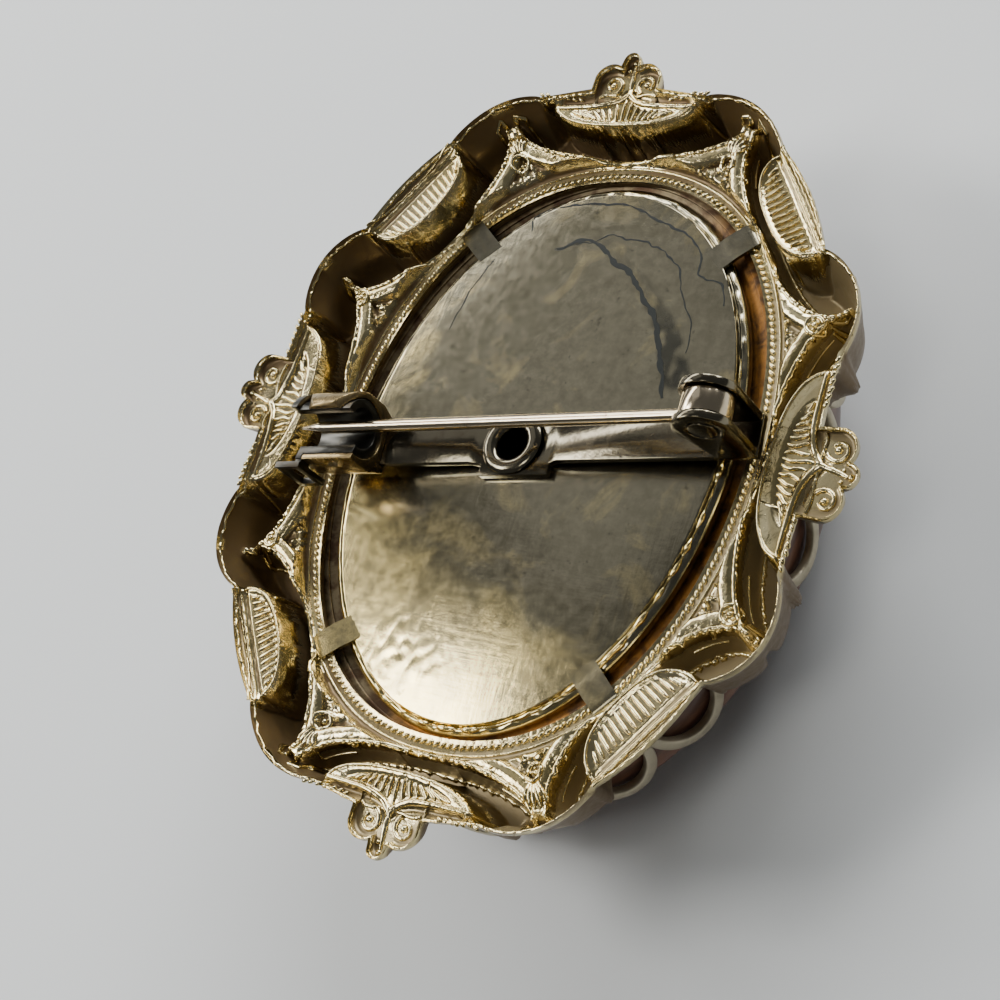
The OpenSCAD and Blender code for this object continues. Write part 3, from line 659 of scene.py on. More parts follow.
class Ornament:
    """Strokes and beads that stand on the sheet, gathered into one object"""

    def __init__(self):
        self.parts = []

    def stroke(self, x, y, radius, lift=0.02, sides=8):
        path = on_sheet(x, y, lift)
        smooth = path.copy()
        smooth[1:-1, 2] = (path[:-2, 2] + path[1:-1, 2] * 2 + path[2:, 2]) / 4
        self.parts.append(tube_part(smooth, radius, sides))

    def stroke_on(self, place, u, v, *more):
        """A stroke given in a cartouche's own axes"""
        self.stroke(*from_cartouche(place, u, v), *more)

    def ragged(self, x, y, radius, seed=0, lift=0.0):
        """A stroke whose width and path waver like worn rope"""
        rough = wrinkles(x * 3, y * 3, 1.3, 50 + seed)
        self.stroke(x + 0.07 * rough, y - 0.07 * rough, radius * (1 + 0.7 * rough), lift)

    def bead(self, x, y, size, turn=0.0, lift=-0.02):
        c, s = math.cos(turn), math.sin(turn)
        self.parts.append(bead_part(on_sheet(x, y, lift), [c, s, 0], [-s, c, 0], [0, 0, 1], size, 3, 8))

    def build(self, name):
        return set_mark(smooth_out(join_meshes(name, self.parts), 60), "hollow", ORNAMENT_BROWN)


def bow_path(half, deep, off, start, steps=60):
    """A scroll's or a lens's inner line, moved outwards by off, from one end to the other"""
    a = np.linspace(start, math.pi - start, steps)
    u = half * np.sign(np.cos(a)) * np.abs(np.cos(a)) ** (2 / SCROLL_CURVE)
    v = -deep * np.sin(a) ** (2 / SCROLL_CURVE)
    du, dv = np.gradient(u), np.gradient(v)
    far = np.hypot(du, dv)
    return u - dv / far * -off, v + du / far * -off


def draw_cartouche(ornament, place, look, rng):
    """Double line along the scroll, edge of the lens, ribs, the band outside them and the border"""
    kind = place[0]
    scroll_l, scroll_w, lens_l, lens_w, end = CARTOUCHES[kind, 3:] * HALF_W
    inner = bow_path(scroll_l, scroll_w, 0.06, 0.13, 150)
    outer = bow_path(scroll_l, scroll_w, BAND_W - 0.06, 0.17, 150)
    u = np.concatenate([inner[0], outer[0][::-1], inner[0][:1]])
    v = np.concatenate([inner[1], outer[1][::-1], inner[1][:1]])
    ornament.ragged(*from_cartouche(place, u, v), 0.14, kind)
    middle = bow_path(scroll_l, scroll_w, BAND_W / 2, 0.15, 150)
    for part in (slice(22, 46), slice(104, 128)):
        ornament.stroke_on(place, middle[0][part], middle[1][part], 0.075)
    ornament.stroke_on(place, *bow_path(lens_l * 0.97, lens_w * 0.97, 0.0, 0.1, 40), 0.08)
    share = RIB_SHARE[kind]
    reach = lens_l * share * 0.97
    for u in np.arange(-reach, reach, look.rib_pitch / MM):
        bowed = max(0.0, 1 - (abs(u) / (lens_l * share)) ** SCROLL_CURVE)
        low = -lens_w * share * bowed ** (1 / SCROLL_CURVE)
        high = float(crest_line(kind, u)) - (0.24 if kind == CORNER else 0.2)
        if high - low < 0.25:
            continue
        t = np.linspace(0, 1, 7)
        sway = 0.06 * np.sin(math.tau * t + rng.uniform(0, 6)) * (kind == SIDE)
        along = u * (1 + RIB_SPLAY[kind] * (t - 0.5)) + sway
        out = mix(low + 0.04, high - rng.uniform(0, 0.12), t)
        ornament.stroke_on(place, along, out, look.rib_height / MM * RIB_TAPER)
    if kind == CORNER:
        for v, radius in ((-0.14, 0.09), (0.12, 0.08)):
            u = np.linspace(-end * 0.96, end * 0.96, 40)
            ornament.stroke_on(place, u, np.full(40, v) + 0.02 * np.sin(u * 9), radius)
    else:
        for hand in (-1, 1):
            u = np.linspace(0.06, end * 0.98, 36) * hand
            ornament.stroke_on(place, u, crest_line(kind, u) + 0.03, np.linspace(0.22, 0.13, 36), -0.02)
        draw_border(ornament, place, end, rng)
        draw_finial(ornament, place)


def draw_border(ornament, place, end, rng):
    """Small slanted leaves between the band and the rim, on both sides of the finial"""
    for hand in (-1, 1):
        for u in np.arange(3.1, end, 0.42):
            out = rng.uniform(-0.06, 0.06)
            x, y = from_cartouche(place, hand * u, 0.12 + out)
            far_x, far_y = from_cartouche(place, hand * (u + 0.3), 0.3 + out)
            turn = math.atan2(far_y - y, far_x - x)
            ornament.bead(x, y, (0.24, 0.12, 0.14), turn)


def draw_finial(ornament, place):
    """A stem to the tip, a curled loop on each side with a bead in it, and a bead at the tip"""
    tip, compact, wide = FINIALS[place[0]]
    t = np.linspace(0, 1, 16)
    along, out = mix(0.0, tip[0], t ** 1.5), mix(0.25, tip[1] - 0.1, t)
    ornament.stroke_on(place, along, out, np.linspace(0.24, 0.13, 16), -0.03)
    for (u, v, radius), hand in ((compact, -1), (wide, 1)):
        turn = np.linspace(-0.35, 1.35, 34) * math.pi
        far = np.linspace(0.64, 0.3, 34) * radius
        along, out = u - hand * far * np.cos(turn), v - 0.1 + far * np.sin(turn)
        ornament.stroke_on(place, along, out, np.linspace(0.15, 0.09, 34))
        ornament.bead(*from_cartouche(place, u, v - 0.12), (0.24, 0.24, 0.22))
        t = np.linspace(0, 1, 12)
        along = mix(hand * 0.35, u + hand * radius * 0.75, t)
        ornament.stroke_on(place, along, mix(0.35, 0.28 + 0.25 * np.sin(t * 3), t), 0.1)
    for du, dv, size in ((0, 0.1, 0.22), (-0.3, -0.42, 0.14), (0.3, -0.42, 0.14)):
        ornament.bead(*from_cartouche(place, tip[0] + du, tip[1] + dv), (size, size, size))


# Dots beside a rosette: place out and across, and radius
PANEL_DOTS = ((-0.1, 0.95, 0.2), (-0.1, -0.95, 0.2), (0.75, 0.62, 0.17), (0.75, -0.62, 0.17),
    (0.95, 0, 0.15), (-0.45, 1.7, 0.17), (-0.45, -1.7, 0.17), (0.12, 1.5, 0.13), (0.12, -1.5, 0.13))


def on_panel(x, y):
    """Whether a spot lies on the flat ground of a panel"""
    ground = np.mean(sheet_back(np.asarray(x, float), np.asarray(y, float)))
    return abs(float(ground) + PANEL_DEPTH) < 0.32


def draw_panel(ornament, tip, across, along, rng):
    """Rosette, dots, leaves and a fan of lines in a panel"""
    out = np.array(tip) / np.linalg.norm(tip)
    side = np.array([-out[1], out[0]])
    centre = np.array(tip) - out * ROSETTE_IN

    def spot(p, q):
        p, q = np.asarray(p), np.asarray(q)
        return (centre[0] + out[0] * p + side[0] * q) * across, (centre[1] + out[1] * p + side[1] * q) * along

    ring = np.linspace(0, math.tau, 20)
    ornament.stroke(*spot(0.5 * np.cos(ring), 0.5 * np.sin(ring)), 0.13)
    ornament.bead(*spot(0, 0), (0.2, 0.2, 0.2))
    for k in range(5):
        a = k * math.tau / 5 + 0.3
        ornament.bead(*spot(0.28 * math.cos(a), 0.28 * math.sin(a)), (0.11, 0.11, 0.14))
    for p, q, size in PANEL_DOTS:
        if on_panel(*spot(p, q)):
            ornament.bead(*spot(p, q), (size, size, size))
    t = np.linspace(0, 1, 12)
    taper = 0.14 * np.sin(np.pi * (0.12 + 0.83 * t)) + 0.03
    for way in np.linspace(-26, 26, 5):
        a = math.radians(way)
        reach = mix(0.75, 1.95, t)
        ornament.stroke(*spot(reach * math.cos(a), reach * math.sin(a) * 0.8), taper)
    for hand in (-1, 1):
        for k in range(9):
            q = 1.1 + 0.42 * k
            lean = -0.05 - 0.16 * q + (0.17 if k % 2 else -0.13)
            bend = 0.08 * np.sin(np.pi * t)
            if not on_panel(*spot(lean + bend, hand * (q + 0.42 * t))):
                continue
            shift = rng.uniform(-0.03, 0.03)
            ornament.stroke(*spot(lean + bend + shift, hand * (q + 0.42 * t)), taper * 0.9)
            if k % 2:
                ornament.bead(*spot(lean - 0.3, hand * q), (0.12, 0.12, 0.13))


def window_line(far, steps):
    """A closed line round the window, far out of its edge"""
    turn = np.linspace(0, math.tau, steps)
    x, y = np.cos(turn), np.sin(turn)
    r = window_radius(x, y) + far
    return r * x, r * y


def draw_rope(ornament, far, pitch, size, slant, lift, steps=6000):
    """Slanted beads all the way round the window"""
    x, y = window_line(far, steps)
    run = np.concatenate([[0], np.cumsum(np.hypot(np.diff(x), np.diff(y)))])
    marks = np.arange(0, run[-1] - pitch / 2, run[-1] / int(run[-1] / pitch))
    px, py = np.interp(marks, run, x), np.interp(marks, run, y)
    wx = np.interp(marks + 0.1, run, x, period=run[-1]) - px
    wy = np.interp(marks + 0.1, run, y, period=run[-1]) - py
    for bx, by, turned in zip(px, py, np.arctan2(wy, wx) + slant):
        ornament.bead(bx, by, size, turned, lift)


FRAME_COUNT = 1380
BACK_ROWS = 56
FRONT_ROWS = 16
FRONT_CROWD = 1.7
# Places round a spot whose mean height tells how deep it lies
AROUND = ((0.3, 0), (-0.3, 0), (0, 0.3), (0, -0.3),
    (0.55, 0.55), (-0.55, 0.55), (0.55, -0.55), (-0.55, -0.55))
# Painted shade: depth below the rim where the front begins to be painted brown as shade, and where it is
# fully brown
FRONT_SHADE = (0.4, 0.75)
# How brown the plain sheet, the strokes and the front's beads are, from 0 to 1
SHEET_BROWN = 0.5
ORNAMENT_BROWN = 0.08
FRONT_BEAD_BROWN = 0.12


def frame_grid(rows, count, crowd=1.0):
    """Rows of points from the window to the outer edge, crowded towards that edge"""
    turn = (np.arange(count) + 0.5) * math.tau / count
    x, y = np.cos(turn), np.sin(turn)
    share = 1 - np.linspace(1, 0, rows)[:, None] ** crowd
    r = mix(window_radius(x, y), outline_radius(x, y), share)
    return r * x, r * y


def frame_hollows(x, y, height, brown):
    """How brown each point of the back is, 0 on bright edges and 1 in a trough"""
    around = sum(sheet_back(x + dx, y + dy) for dx, dy in AROUND) / len(AROUND)
    cavity = np.clip((around - height) * 2.2, -0.35, 0.45)
    return np.clip(np.maximum(SHEET_BROWN + cavity, brown * 0.92), 0, 1)


class FrameLook(bpy.types.PropertyGroup):
    rib_pitch: length_value("Rib pitch", "Distance between the ribs on a lens", 0.42)
    rib_height: length_value("Rib thickness", "Half thickness of a rib on a lens", 0.12)
    bead_pitch: length_value("Bead pitch", "Distance between the beads of the ring", 0.42)
    gilt: colour_value("Gilt", "Colour of the gilt sheet", (0.57, 0.46, 0.22))
    gilt_pale: colour_value("Pale gilt", "Colour of the paler patches", (0.74, 0.64, 0.37))
    # Also painted as shade on the sheet's front
    hollow_brown: colour_value("Hollow brown", "Colour of the tarnished hollows", (0.135, 0.088, 0.038))
    # Painted light: the lighter colour painted in the hollows on one side
    hollow_olive: colour_value("Hollow olive", "Colour of the hollows on the hinge's side",
        (0.27, 0.21, 0.11))


class BROOCH_OT_frame(bpy.types.Operator):
    """Stamped frame, the ornament on its back, and the beaded ring on both sides"""
    bl_idname = "brooch.frame"
    bl_label = "Stamped frame"

    def execute(self, context):
        look = context.scene.brooch_frame
        back_x, back_y = frame_grid(BACK_ROWS, FRAME_COUNT)
        front_x, front_y = frame_grid(FRONT_ROWS, FRAME_COUNT, FRONT_CROWD)
        back, brown = sheet_fields(back_x, back_y)
        hollow = frame_hollows(back_x, back_y, back, brown)
        front = sheet_front(front_x, front_y)
        # Painted shade: the front faces the floor and is painted browner the deeper it lies under the rim
        under = 0.3 + 0.7 * ramp(-front, *FRONT_SHADE)
        x, y, z, hollow, on_back = (np.concatenate([a, b[::-1]]).ravel() for a, b in (
            (back_x, front_x), (back_y, front_y), (back, front), (hollow, under),
            (np.ones(back.shape), np.zeros(front.shape))))
        # Painted light: share of the lighter hollow colour, growing towards +X and -Y
        lit_side = ramp(x - 0.5 * y * (y < 0) - 0.2 * y * (y > 0), 2.0, 12.0) * on_back
        x, y = skewed(x, y)
        gilt = gilt_finish(look)
        sheet = new_object("stamped_frame", np.stack([x, y, RIM_Z + z], -1),
            ring_faces(BACK_ROWS + FRONT_ROWS, FRAME_COUNT, True), {"hollow": hollow, "lit_side": lit_side})
        finish_piece(smooth_out(sheet, 55), "brooch", "frame_metal", gilt, "frame")
        finish_piece(self.ornament(look), "brooch", "frame_metal", gilt)
        finish_piece(self.ropes(look), "brooch", "frame_metal", gilt)
        finish_piece(self.front_beads(look), "brooch", "frame_metal", gilt)
        return {"FINISHED"}

    def ornament(self, look):
        """Everything drawn on the eight cartouches and the eight panels"""
        rng = np.random.default_rng(4)
        ornament = Ornament()
        for place in PLACES:
            draw_cartouche(ornament, place, look, rng)
        for tip in PANEL_TIPS:
            for across in (-1, 1):
                for along in (-1, 1):
                    draw_panel(ornament, tip, across, along, rng)
        return ornament.build("frame_ornament")

    def ropes(self, look):
        """Slanted beads round the window with a plain line beside them, and a fine rope on the rim"""
        ropes = Ornament()
        draw_rope(ropes, 0.36, look.bead_pitch / MM, (0.3, 0.13, 0.18), 0.62, -0.03)
        ropes.stroke(*window_line(0.82, 700), 0.08, 0.0)
        turn = np.linspace(0, math.tau, 2200)
        x, y = np.cos(turn), np.sin(turn)
        out = outline_radius(x, y) - 0.1 + 0.03 * wrinkles(x * 20, y * 20, 0.9, 31)
        ropes.stroke(out * x, out * y, 0.1 + 0.025 * wrinkles(x * 20, y * 20, 0.6, 32), -0.02, 6)
        return ropes.build("frame_ropes")

    def front_beads(self, look):
        """The same beads on the front of the ring"""
        count = int(math.tau * (WINDOW_A + WINDOW_B) / 2 / (look.bead_pitch / MM))
        parts = []
        for turn in full_turn(count):
            x, y = math.cos(turn), math.sin(turn)
            r = float(window_radius(np.array(x), np.array(y))) + RING_W / 2
            centre = [r * x, r * y, RING_Z - SHEET_T - 0.02]
            parts.append(bead_part(centre, [-y, x, 0], [x, y, 0], [0, 0, -1], (0.17, 0.28, 0.2), 3, 8))
        return set_mark(smooth_out(join_meshes("ring_beads_front", parts), 60), "hollow", FRONT_BEAD_BROWN)


# Back plate

PLATE_COUNT = 640
PLATE_ROWS = 96
PLATE_EDGE_ROWS = 24
PLATE_UNDER_STEP = 6
STEP_W = 0.5
STEP_DROP = 0.25
STEP_RUN = 0.13
EYELET_SEAT_R = 1.3
TAB_HALF = 0.8
TAB_T = 0.22
# Along a tab: distance out of the plate's edge, height of its top and share of its width
TAB_PATH = ((-1.3, 9.74, 1), (-0.9, 9.79, 1), (-0.5, 9.81, 1), (-0.2, 9.85, 1), (0.1, 9.9, 1),
    (0.4, 9.93, 1), (1.4, 9.93, 1), (1.65, 9.9, 0.96), (1.8, 9.83, 0.92), (1.9, 9.72, 0.88))
# Burr on the plate's edge: first and last direction in degrees, distance in from the edge, and radius
BURR_TURNS = (-112, 22)
BURR_IN = 0.42
BURR_R = 0.11
# Dented patch near the plate's lower end: middle, half sizes and depth
DENT_PLACE = (-3.9, -12.9)
DENT_SIZE = (3.5, 2.0)
DENT_DEPTH = 0.05
# Rolled edge: how far it drops and reaches in; raised line inside it: distance in, height and width
ROLL_DROP = 0.16
ROLL_W = 0.22
RAISED_IN = 0.33
RAISED_H = 0.08
RAISED_W = 0.12
WAVER_H = 0.006


def plate_surface(x, y):
    """Height of the plate's top: dome, stepped and rolled edge with an uneven raised line, and dents"""
    z = PLATE_Z - PLATE_DOME_R + np.sqrt(PLATE_DOME_R ** 2 - x * x - y * y)
    oval = np.hypot(x / PLATE_A, y / PLATE_B)
    from_edge = (1 - oval) * np.hypot(x, y) / np.maximum(oval, 1e-6)
    z -= STEP_DROP * ramp(from_edge, STEP_W + STEP_RUN, STEP_W)
    z -= ROLL_DROP * (1 - np.clip(from_edge / ROLL_W, 0, 1)) ** 2.2
    patch = bell(np.hypot((x - DENT_PLACE[0]) / DENT_SIZE[0], (y - DENT_PLACE[1]) / DENT_SIZE[1]), 0.8)
    z += DENT_DEPTH * patch * (np.abs(wrinkles(x, y, 2.2, 17, 3)) ** 0.45 - 0.55)
    z += RAISED_H * bell(from_edge - RAISED_IN, RAISED_W) * (1 + 0.6 * wrinkles(x, y, 1.3, 13, 2))
    return z + WAVER_H * wrinkles(x, y, 12.0, 12, 1)


# Edges that dried stains left on the plate: points across and along, and width
TIDES = (
    (((-5.2, 13.6), (-5.5, 14.7), (-3.7, 15.3), (-1.4, 15.5), (1.0, 15.4), (2.8, 14.6),
        (4.6, 13.9), (6.0, 13.1), (6.8, 11.9), (6.9, 11.0), (8.5, 10.4), (9.2, 9.1)), 0.13),
    (((-3.0, 12.2), (-2.0, 12.6), (-0.3, 12.9), (0.4, 13.4), (0.9, 13.2), (2.0, 13.1),
        (3.3, 12.8), (4.8, 12.0), (5.8, 11.0), (6.5, 9.4), (7.6, 7.9), (7.9, 6.0)), 0.09),
    (((-2.8, 12.2), (-0.9, 12.9), (-0.2, 12.7), (1.3, 11.6), (2.9, 10.6), (4.1, 9.3), (5.2, 8.2), (6.0, 6.6),
        (7.0, 4.5), (7.4, 3.2)), 0.28),
    (((-7.0, 11.6), (-7.6, 10.2), (-8.1, 8.0), (-8.3, 6.6)), 0.07),
)
# Middle line of the dark bank beside the widest of them
STAIN_BANK = ((0.4, 12.6), (1.9, 11.5), (3.5, 10.4), (4.8, 9.1), (5.9, 7.8), (6.9, 6.3), (7.8, 4.6))


def winding(line, seed, pitch=0.12):
    """A line through points, made uneven"""
    line = np.array(line, float)
    pitch = min(pitch, 0.25 * np.hypot(*(line[-1] - line[0])))
    run = np.concatenate([[0], np.cumsum(np.hypot(*np.diff(line, axis=0).T))])
    at = np.arange(0, run[-1], pitch)
    x, y = (CubicCurve(run, line[:, k])(at) for k in range(2))
    return x + 0.12 * wrinkles(x, y, 1.6, seed), y + 0.12 * wrinkles(x, y, 1.6, seed + 1)


class CubicCurve:
    """Smooth curve through values at given places"""

    def __init__(self, places, values):
        self.places, self.values = places, values
        self.slopes = np.gradient(values, places)

    def __call__(self, at):
        i = np.clip(np.searchsorted(self.places, at) - 1, 0, len(self.places) - 2)
        wide = self.places[i + 1] - self.places[i]
        t = (at - self.places[i]) / wide
        return ((1 + 2 * t) * (1 - t) ** 2 * self.values[i] + t * (1 - t) ** 2 * wide * self.slopes[i]
            + t * t * (3 - 2 * t) * self.values[i + 1] + t * t * (t - 1) * wide * self.slopes[i + 1])


def plate_stains(x, y):
    """How dark the bank beside the widest tide line makes each point"""
    bank = np.array(STAIN_BANK)
    far = np.full(x.shape, 100.0)
    for a, b in zip(bank, bank[1:]):
        way = b - a
        t = np.clip(((x - a[0]) * way[0] + (y - a[1]) * way[1]) / (way @ way), 0, 1)
        far = np.minimum(far, np.hypot(x - a[0] - t * way[0], y - a[1] - t * way[1]))
    wide = 0.5 + 0.5 * ramp(y, 11.0, 5.5)
    deep = mix(0.3, 0.95, ramp(y, 11.5, 6.5)) * ramp(wrinkles(x, y, 1.8, 23), -0.6, 0.1)
    return np.clip(deep * ramp(far, wide, wide * 0.6), 0, 1)


class PlateLook(bpy.types.PropertyGroup):
    plate_grey: colour_value("Grey", "Colour of the dull metal", (0.21, 0.19, 0.13))
    plate_pale: colour_value("Pale", "Colour of the cleaner metal", (0.33, 0.30, 0.21))
    # Painted highlight: the bright gold painted at the plate's warm end and on its edge burr
    plate_highlight_gold: colour_value("Gold", "Colour of the warm rubbed end", (0.8, 0.64, 0.28))
    plate_stain: colour_value("Stain", "Colour of tide lines and specks", (0.03, 0.032, 0.03))


class BROOCH_OT_plate(bpy.types.Operator):
    """Domed back plate with a stepped edge, and its four tabs, tide lines and a burr painted bright as a
    highlight
    """
    bl_idname = "brooch.plate"
    bl_label = "Back plate"

    def execute(self, context):
        look = context.scene.brooch_plate
        turn = full_turn(PLATE_COUNT)
        share = np.concatenate([np.linspace(0, 0.94, PLATE_ROWS - PLATE_EDGE_ROWS),
            np.linspace(0.945, 1, PLATE_EDGE_ROWS)])[:, None]
        hole_x = EYELET[0] + EYELET_SEAT_R * np.cos(turn)
        hole_y = EYELET[1] + EYELET_SEAT_R * np.sin(turn)
        x = mix(hole_x, PLATE_A * np.cos(turn), share)
        y = mix(hole_y, PLATE_B * np.sin(turn), share)
        top = plate_surface(x, y)
        low_x, low_y = x[::-PLATE_UNDER_STEP] * 0.998, y[::-PLATE_UNDER_STEP] * 0.998
        low = plate_surface(low_x, low_y) - PLATE_T
        points = np.stack([np.concatenate([a, b]).ravel()
            for a, b in ((x, low_x), (y, low_y), (top, low))], -1)
        marks = {"warm": self.painted_highlight_share(points), "tide": plate_stains(points[:, 0], points[:, 1])}
        metal = plate_finish(look)
        plate = new_object("domed_plate", points, ring_faces(len(top) + len(low), PLATE_COUNT, True), marks)
        finish_piece(smooth_out(plate, 50), "brooch", "plate_metal", metal, "back_plate")
        finish_piece(self.tabs(), "brooch", "plate_metal", metal)
        stain = metal_finish("tide_stain", look.plate_stain, look.plate_stain, 0.5)
        finish_piece(self.tide_lines(), "brooch", "plate_metal", stain)
        # Painted highlight: the burr along the edge gets the bright gold of the painted highlight
        bright = metal_finish("highlight_burr", look.plate_highlight_gold, look.plate_grey, 0.16)
        finish_piece(self.highlight_burr(), "brooch", "plate_metal", bright)
        return {"FINISHED"}

    def tide_lines(self):
        """Thin dark lines round the dried stains"""
        parts = []
        for k, (line, width) in enumerate(TIDES):
            x, y = winding(line, 60 + 3 * k)
            dx, dy = np.gradient(x), np.gradient(y)
            far = np.hypot(dx, dy)
            ends = np.sin(np.linspace(0.12, math.pi - 0.12, len(x))) ** 0.3
            half = width / 2 * (1 + 0.7 * wrinkles(x, y, 1.2, 70 + k)) * ends
            sides = [(x + hand * half * dy / far, y - hand * half * dx / far) for hand in (-1, 1)]
            points = np.concatenate([np.stack([a, b, plate_surface(a, b) + 0.012], -1) for a, b in sides])
            count = len(x)
            parts.append((points, [[i, i + 1, count + i + 1, count + i] for i in range(count - 1)], {}))
        return join_meshes("plate_tide_lines", parts)

    def highlight_burr(self):
        """Uneven burr along the plate's edge, on the side away from the catch, painted bright gold as a
        highlight
        """
        turn = np.radians(np.arange(BURR_TURNS[0], BURR_TURNS[1], 0.35))
        waver = wrinkles(PLATE_A * np.cos(turn), PLATE_B * np.sin(turn), 1.4, 81, 2)
        x = (PLATE_A - BURR_IN + 0.05 * waver) * np.cos(turn)
        y = (PLATE_B - BURR_IN + 0.05 * waver) * np.sin(turn)
        ends = np.sin(np.linspace(0.06, math.pi - 0.06, len(turn))) ** 0.5
        radius = BURR_R * np.clip(1 + 1.1 * waver, 0.3, 2.0) * ends
        path = np.stack([x, y, plate_surface(x, y) + 0.3 * BURR_R], -1)
        return smooth_out(join_meshes("plate_edge_burr", [tube_part(path, radius, 8)]), 60)

    def tabs(self):
        """Four short strips that rise from the plate's edge and lie on the ring"""
        parts = []
        for turn in (TAB_TURN, 180 - TAB_TURN, 180 + TAB_TURN, 360 - TAB_TURN):
            a = math.radians(turn)
            out = np.array([PLATE_B * math.cos(a), PLATE_A * math.sin(a)])
            out /= np.linalg.norm(out)
            way, side = np.array([*out, 0]), np.array([-out[1], out[0], 0])
            start = np.array([PLATE_A * math.cos(a), PLATE_B * math.sin(a), 0])
            points = np.array([start + way * s + side * hand * (TAB_HALF * wide) + np.array([0, 0, z])
                for s, top, wide in TAB_PATH
                for hand, z in ((1, top), (-1, top), (-1, top - TAB_T), (1, top - TAB_T))])
            marks = {"warm": self.painted_highlight_share(points), "tide": np.full(len(points), 0.5)}
            parts.append((points, capped_faces(len(TAB_PATH), 4), marks))
        return smooth_out(join_meshes("plate_tabs", parts), 40)

    def painted_highlight_share(self, points):
        """Where the plate gets its painted warm highlight: its -Y end and its -X side"""
        return ramp(-0.5 * points[:, 0] - points[:, 1], 5.5, 12.5) + 0.5 * ramp(-points[:, 0], 7.0, 10.5)


# Setting

LOOP_COUNT = 24
LOOP_H = 3.3
STRIP_W = 0.55
SEAT_W = 2.4
# Lip inside the collar, which shows as a brown band in the gap round the back plate
LIP_TOP = 8.69
LIP_T = 0.35
LIP_LAP = 0.9
# Collar under the frame's ring: distance out of the window, thickness, and its foot over the seat
COLLAR_OUT = 0.55
COLLAR_T = 0.5
COLLAR_FOOT = 0.3
SETTING_COUNT = 480
STRIP_SIDES = 16
STRIP_STEPS = 33


class SettingLook(bpy.types.PropertyGroup):
    strip_pale: colour_value("Pale strip", "Colour of the worn plated loops", (0.52, 0.46, 0.33))
    strip_grey: colour_value("Grey strip", "Colour of the duller patches", (0.37, 0.32, 0.22))
    floor_olive: colour_value("Olive floor", "Colour of the dull varnish", (0.16, 0.125, 0.07))
    floor_orange: colour_value("Orange floor", "Colour of the varnished floor", (0.24, 0.105, 0.02))
    floor_brown: colour_value("Brown floor", "Colour of the dark floor", (0.05, 0.026, 0.012))


class BROOCH_OT_setting(bpy.types.Operator):
    """Cup for the stone: floor, collar and a wall of open loops"""
    bl_idname = "brooch.setting"
    bl_label = "Open setting"

    def execute(self, context):
        strip = setting_finish(context.scene.brooch_setting)
        finish_piece(self.floor(), "brooch", "setting_metal", strip, "setting")
        finish_piece(self.loops(), "brooch", "setting_metal", strip)
        return {"FINISHED"}

    def floor(self):
        """Floor, collar and lip as one band each, varnished brown but for the floor's outer edge"""
        stone = np.array([STONE_A, STONE_B])
        wide = WALL_IN + WALL_T
        collar = np.array([WINDOW_A, WINDOW_B]) + COLLAR_OUT - stone
        collar_top = RING_Z - SHEET_T - 0.03
        lip_low = LIP_TOP - LIP_T
        lip_edge = np.array([PLATE_A, PLATE_B]) - LIP_LAP - stone
        seat_top = SEAT_Z + SEAT_T
        foot = SEAT_Z + COLLAR_FOOT
        bands = (
            (np.full(2, wide), np.full(2, WALL_IN - SEAT_W), SEAT_Z, seat_top, seat_top, SEAT_Z),
            (collar, collar - COLLAR_T, foot, collar_top, collar_top, foot),
            (collar - 0.1, lip_edge, lip_low, collar_top, LIP_TOP, lip_low))
        parts = []
        for outer, inner, *heights in bands:
            corners = zip((outer, outer, inner, inner), heights)
            rows = rounded([(*(stone + far), z) for far, z in corners], 0.08)
            points = oval_rows(rows, SETTING_COUNT)
            out = np.hypot(points[:, 0] / (STONE_A + wide), points[:, 1] / (STONE_B + wide))
            amber = ramp(points[:, 0] - 0.35 * points[:, 1], -1.0, 5.0)
            marks = {"inside": ramp(out, 1.0, 0.985), "amber": amber}
            parts.append((points, ring_faces(len(rows), SETTING_COUNT, True), marks))
        return smooth_out(join_meshes("setting_floor", parts), 50)

    def loops(self):
        """Flat strips bent into arches, one beside the other along the wall"""
        a, b = STONE_A + WALL_IN + WALL_T / 2, STONE_B + WALL_IN + WALL_T / 2
        section = [[math.copysign(abs(f(t)) ** 0.45, f(t)) for f in (math.cos, math.sin)]
            for t in full_turn(STRIP_SIDES)]
        parts = []
        for i in range(LOOP_COUNT):
            turn = (i + 0.5) * math.tau / LOOP_COUNT
            speed = math.hypot(a * math.sin(turn), b * math.cos(turn))
            half = speed * math.pi / LOOP_COUNT
            points = []
            for t in np.linspace(0, math.pi, STRIP_STEPS):
                strip = STRIP_W * (1 + 0.22 * math.sin(t))
                s = (half + 0.05 - STRIP_W / 2) * -math.cos(t)
                z = SEAT_Z + 0.1 - (LOOP_H + 0.1 - strip / 2) * math.sin(t)
                way = np.array([math.sin(t) * half, -math.cos(t) * LOOP_H])
                way /= np.linalg.norm(way)
                for wide, thick in section:
                    ds, dz = wide * strip / 2 * way[1], -wide * strip / 2 * way[0]
                    phi = turn + (s + ds) / speed
                    out = np.array([b * math.cos(phi), a * math.sin(phi)])
                    out /= np.linalg.norm(out)
                    away = thick * (WALL_T / 2 - 0.01)
                    x, y = np.array([a * math.cos(phi), b * math.sin(phi)]) + out * away
                    points.append((x, y, z + dz))
            marks = {"inside": np.zeros(len(points)), "amber": np.zeros(len(points))}
            parts.append((np.array(points), capped_faces(STRIP_STEPS, STRIP_SIDES), marks))
        return smooth_out(join_meshes("setting_loops", parts), 50)


# Cameo

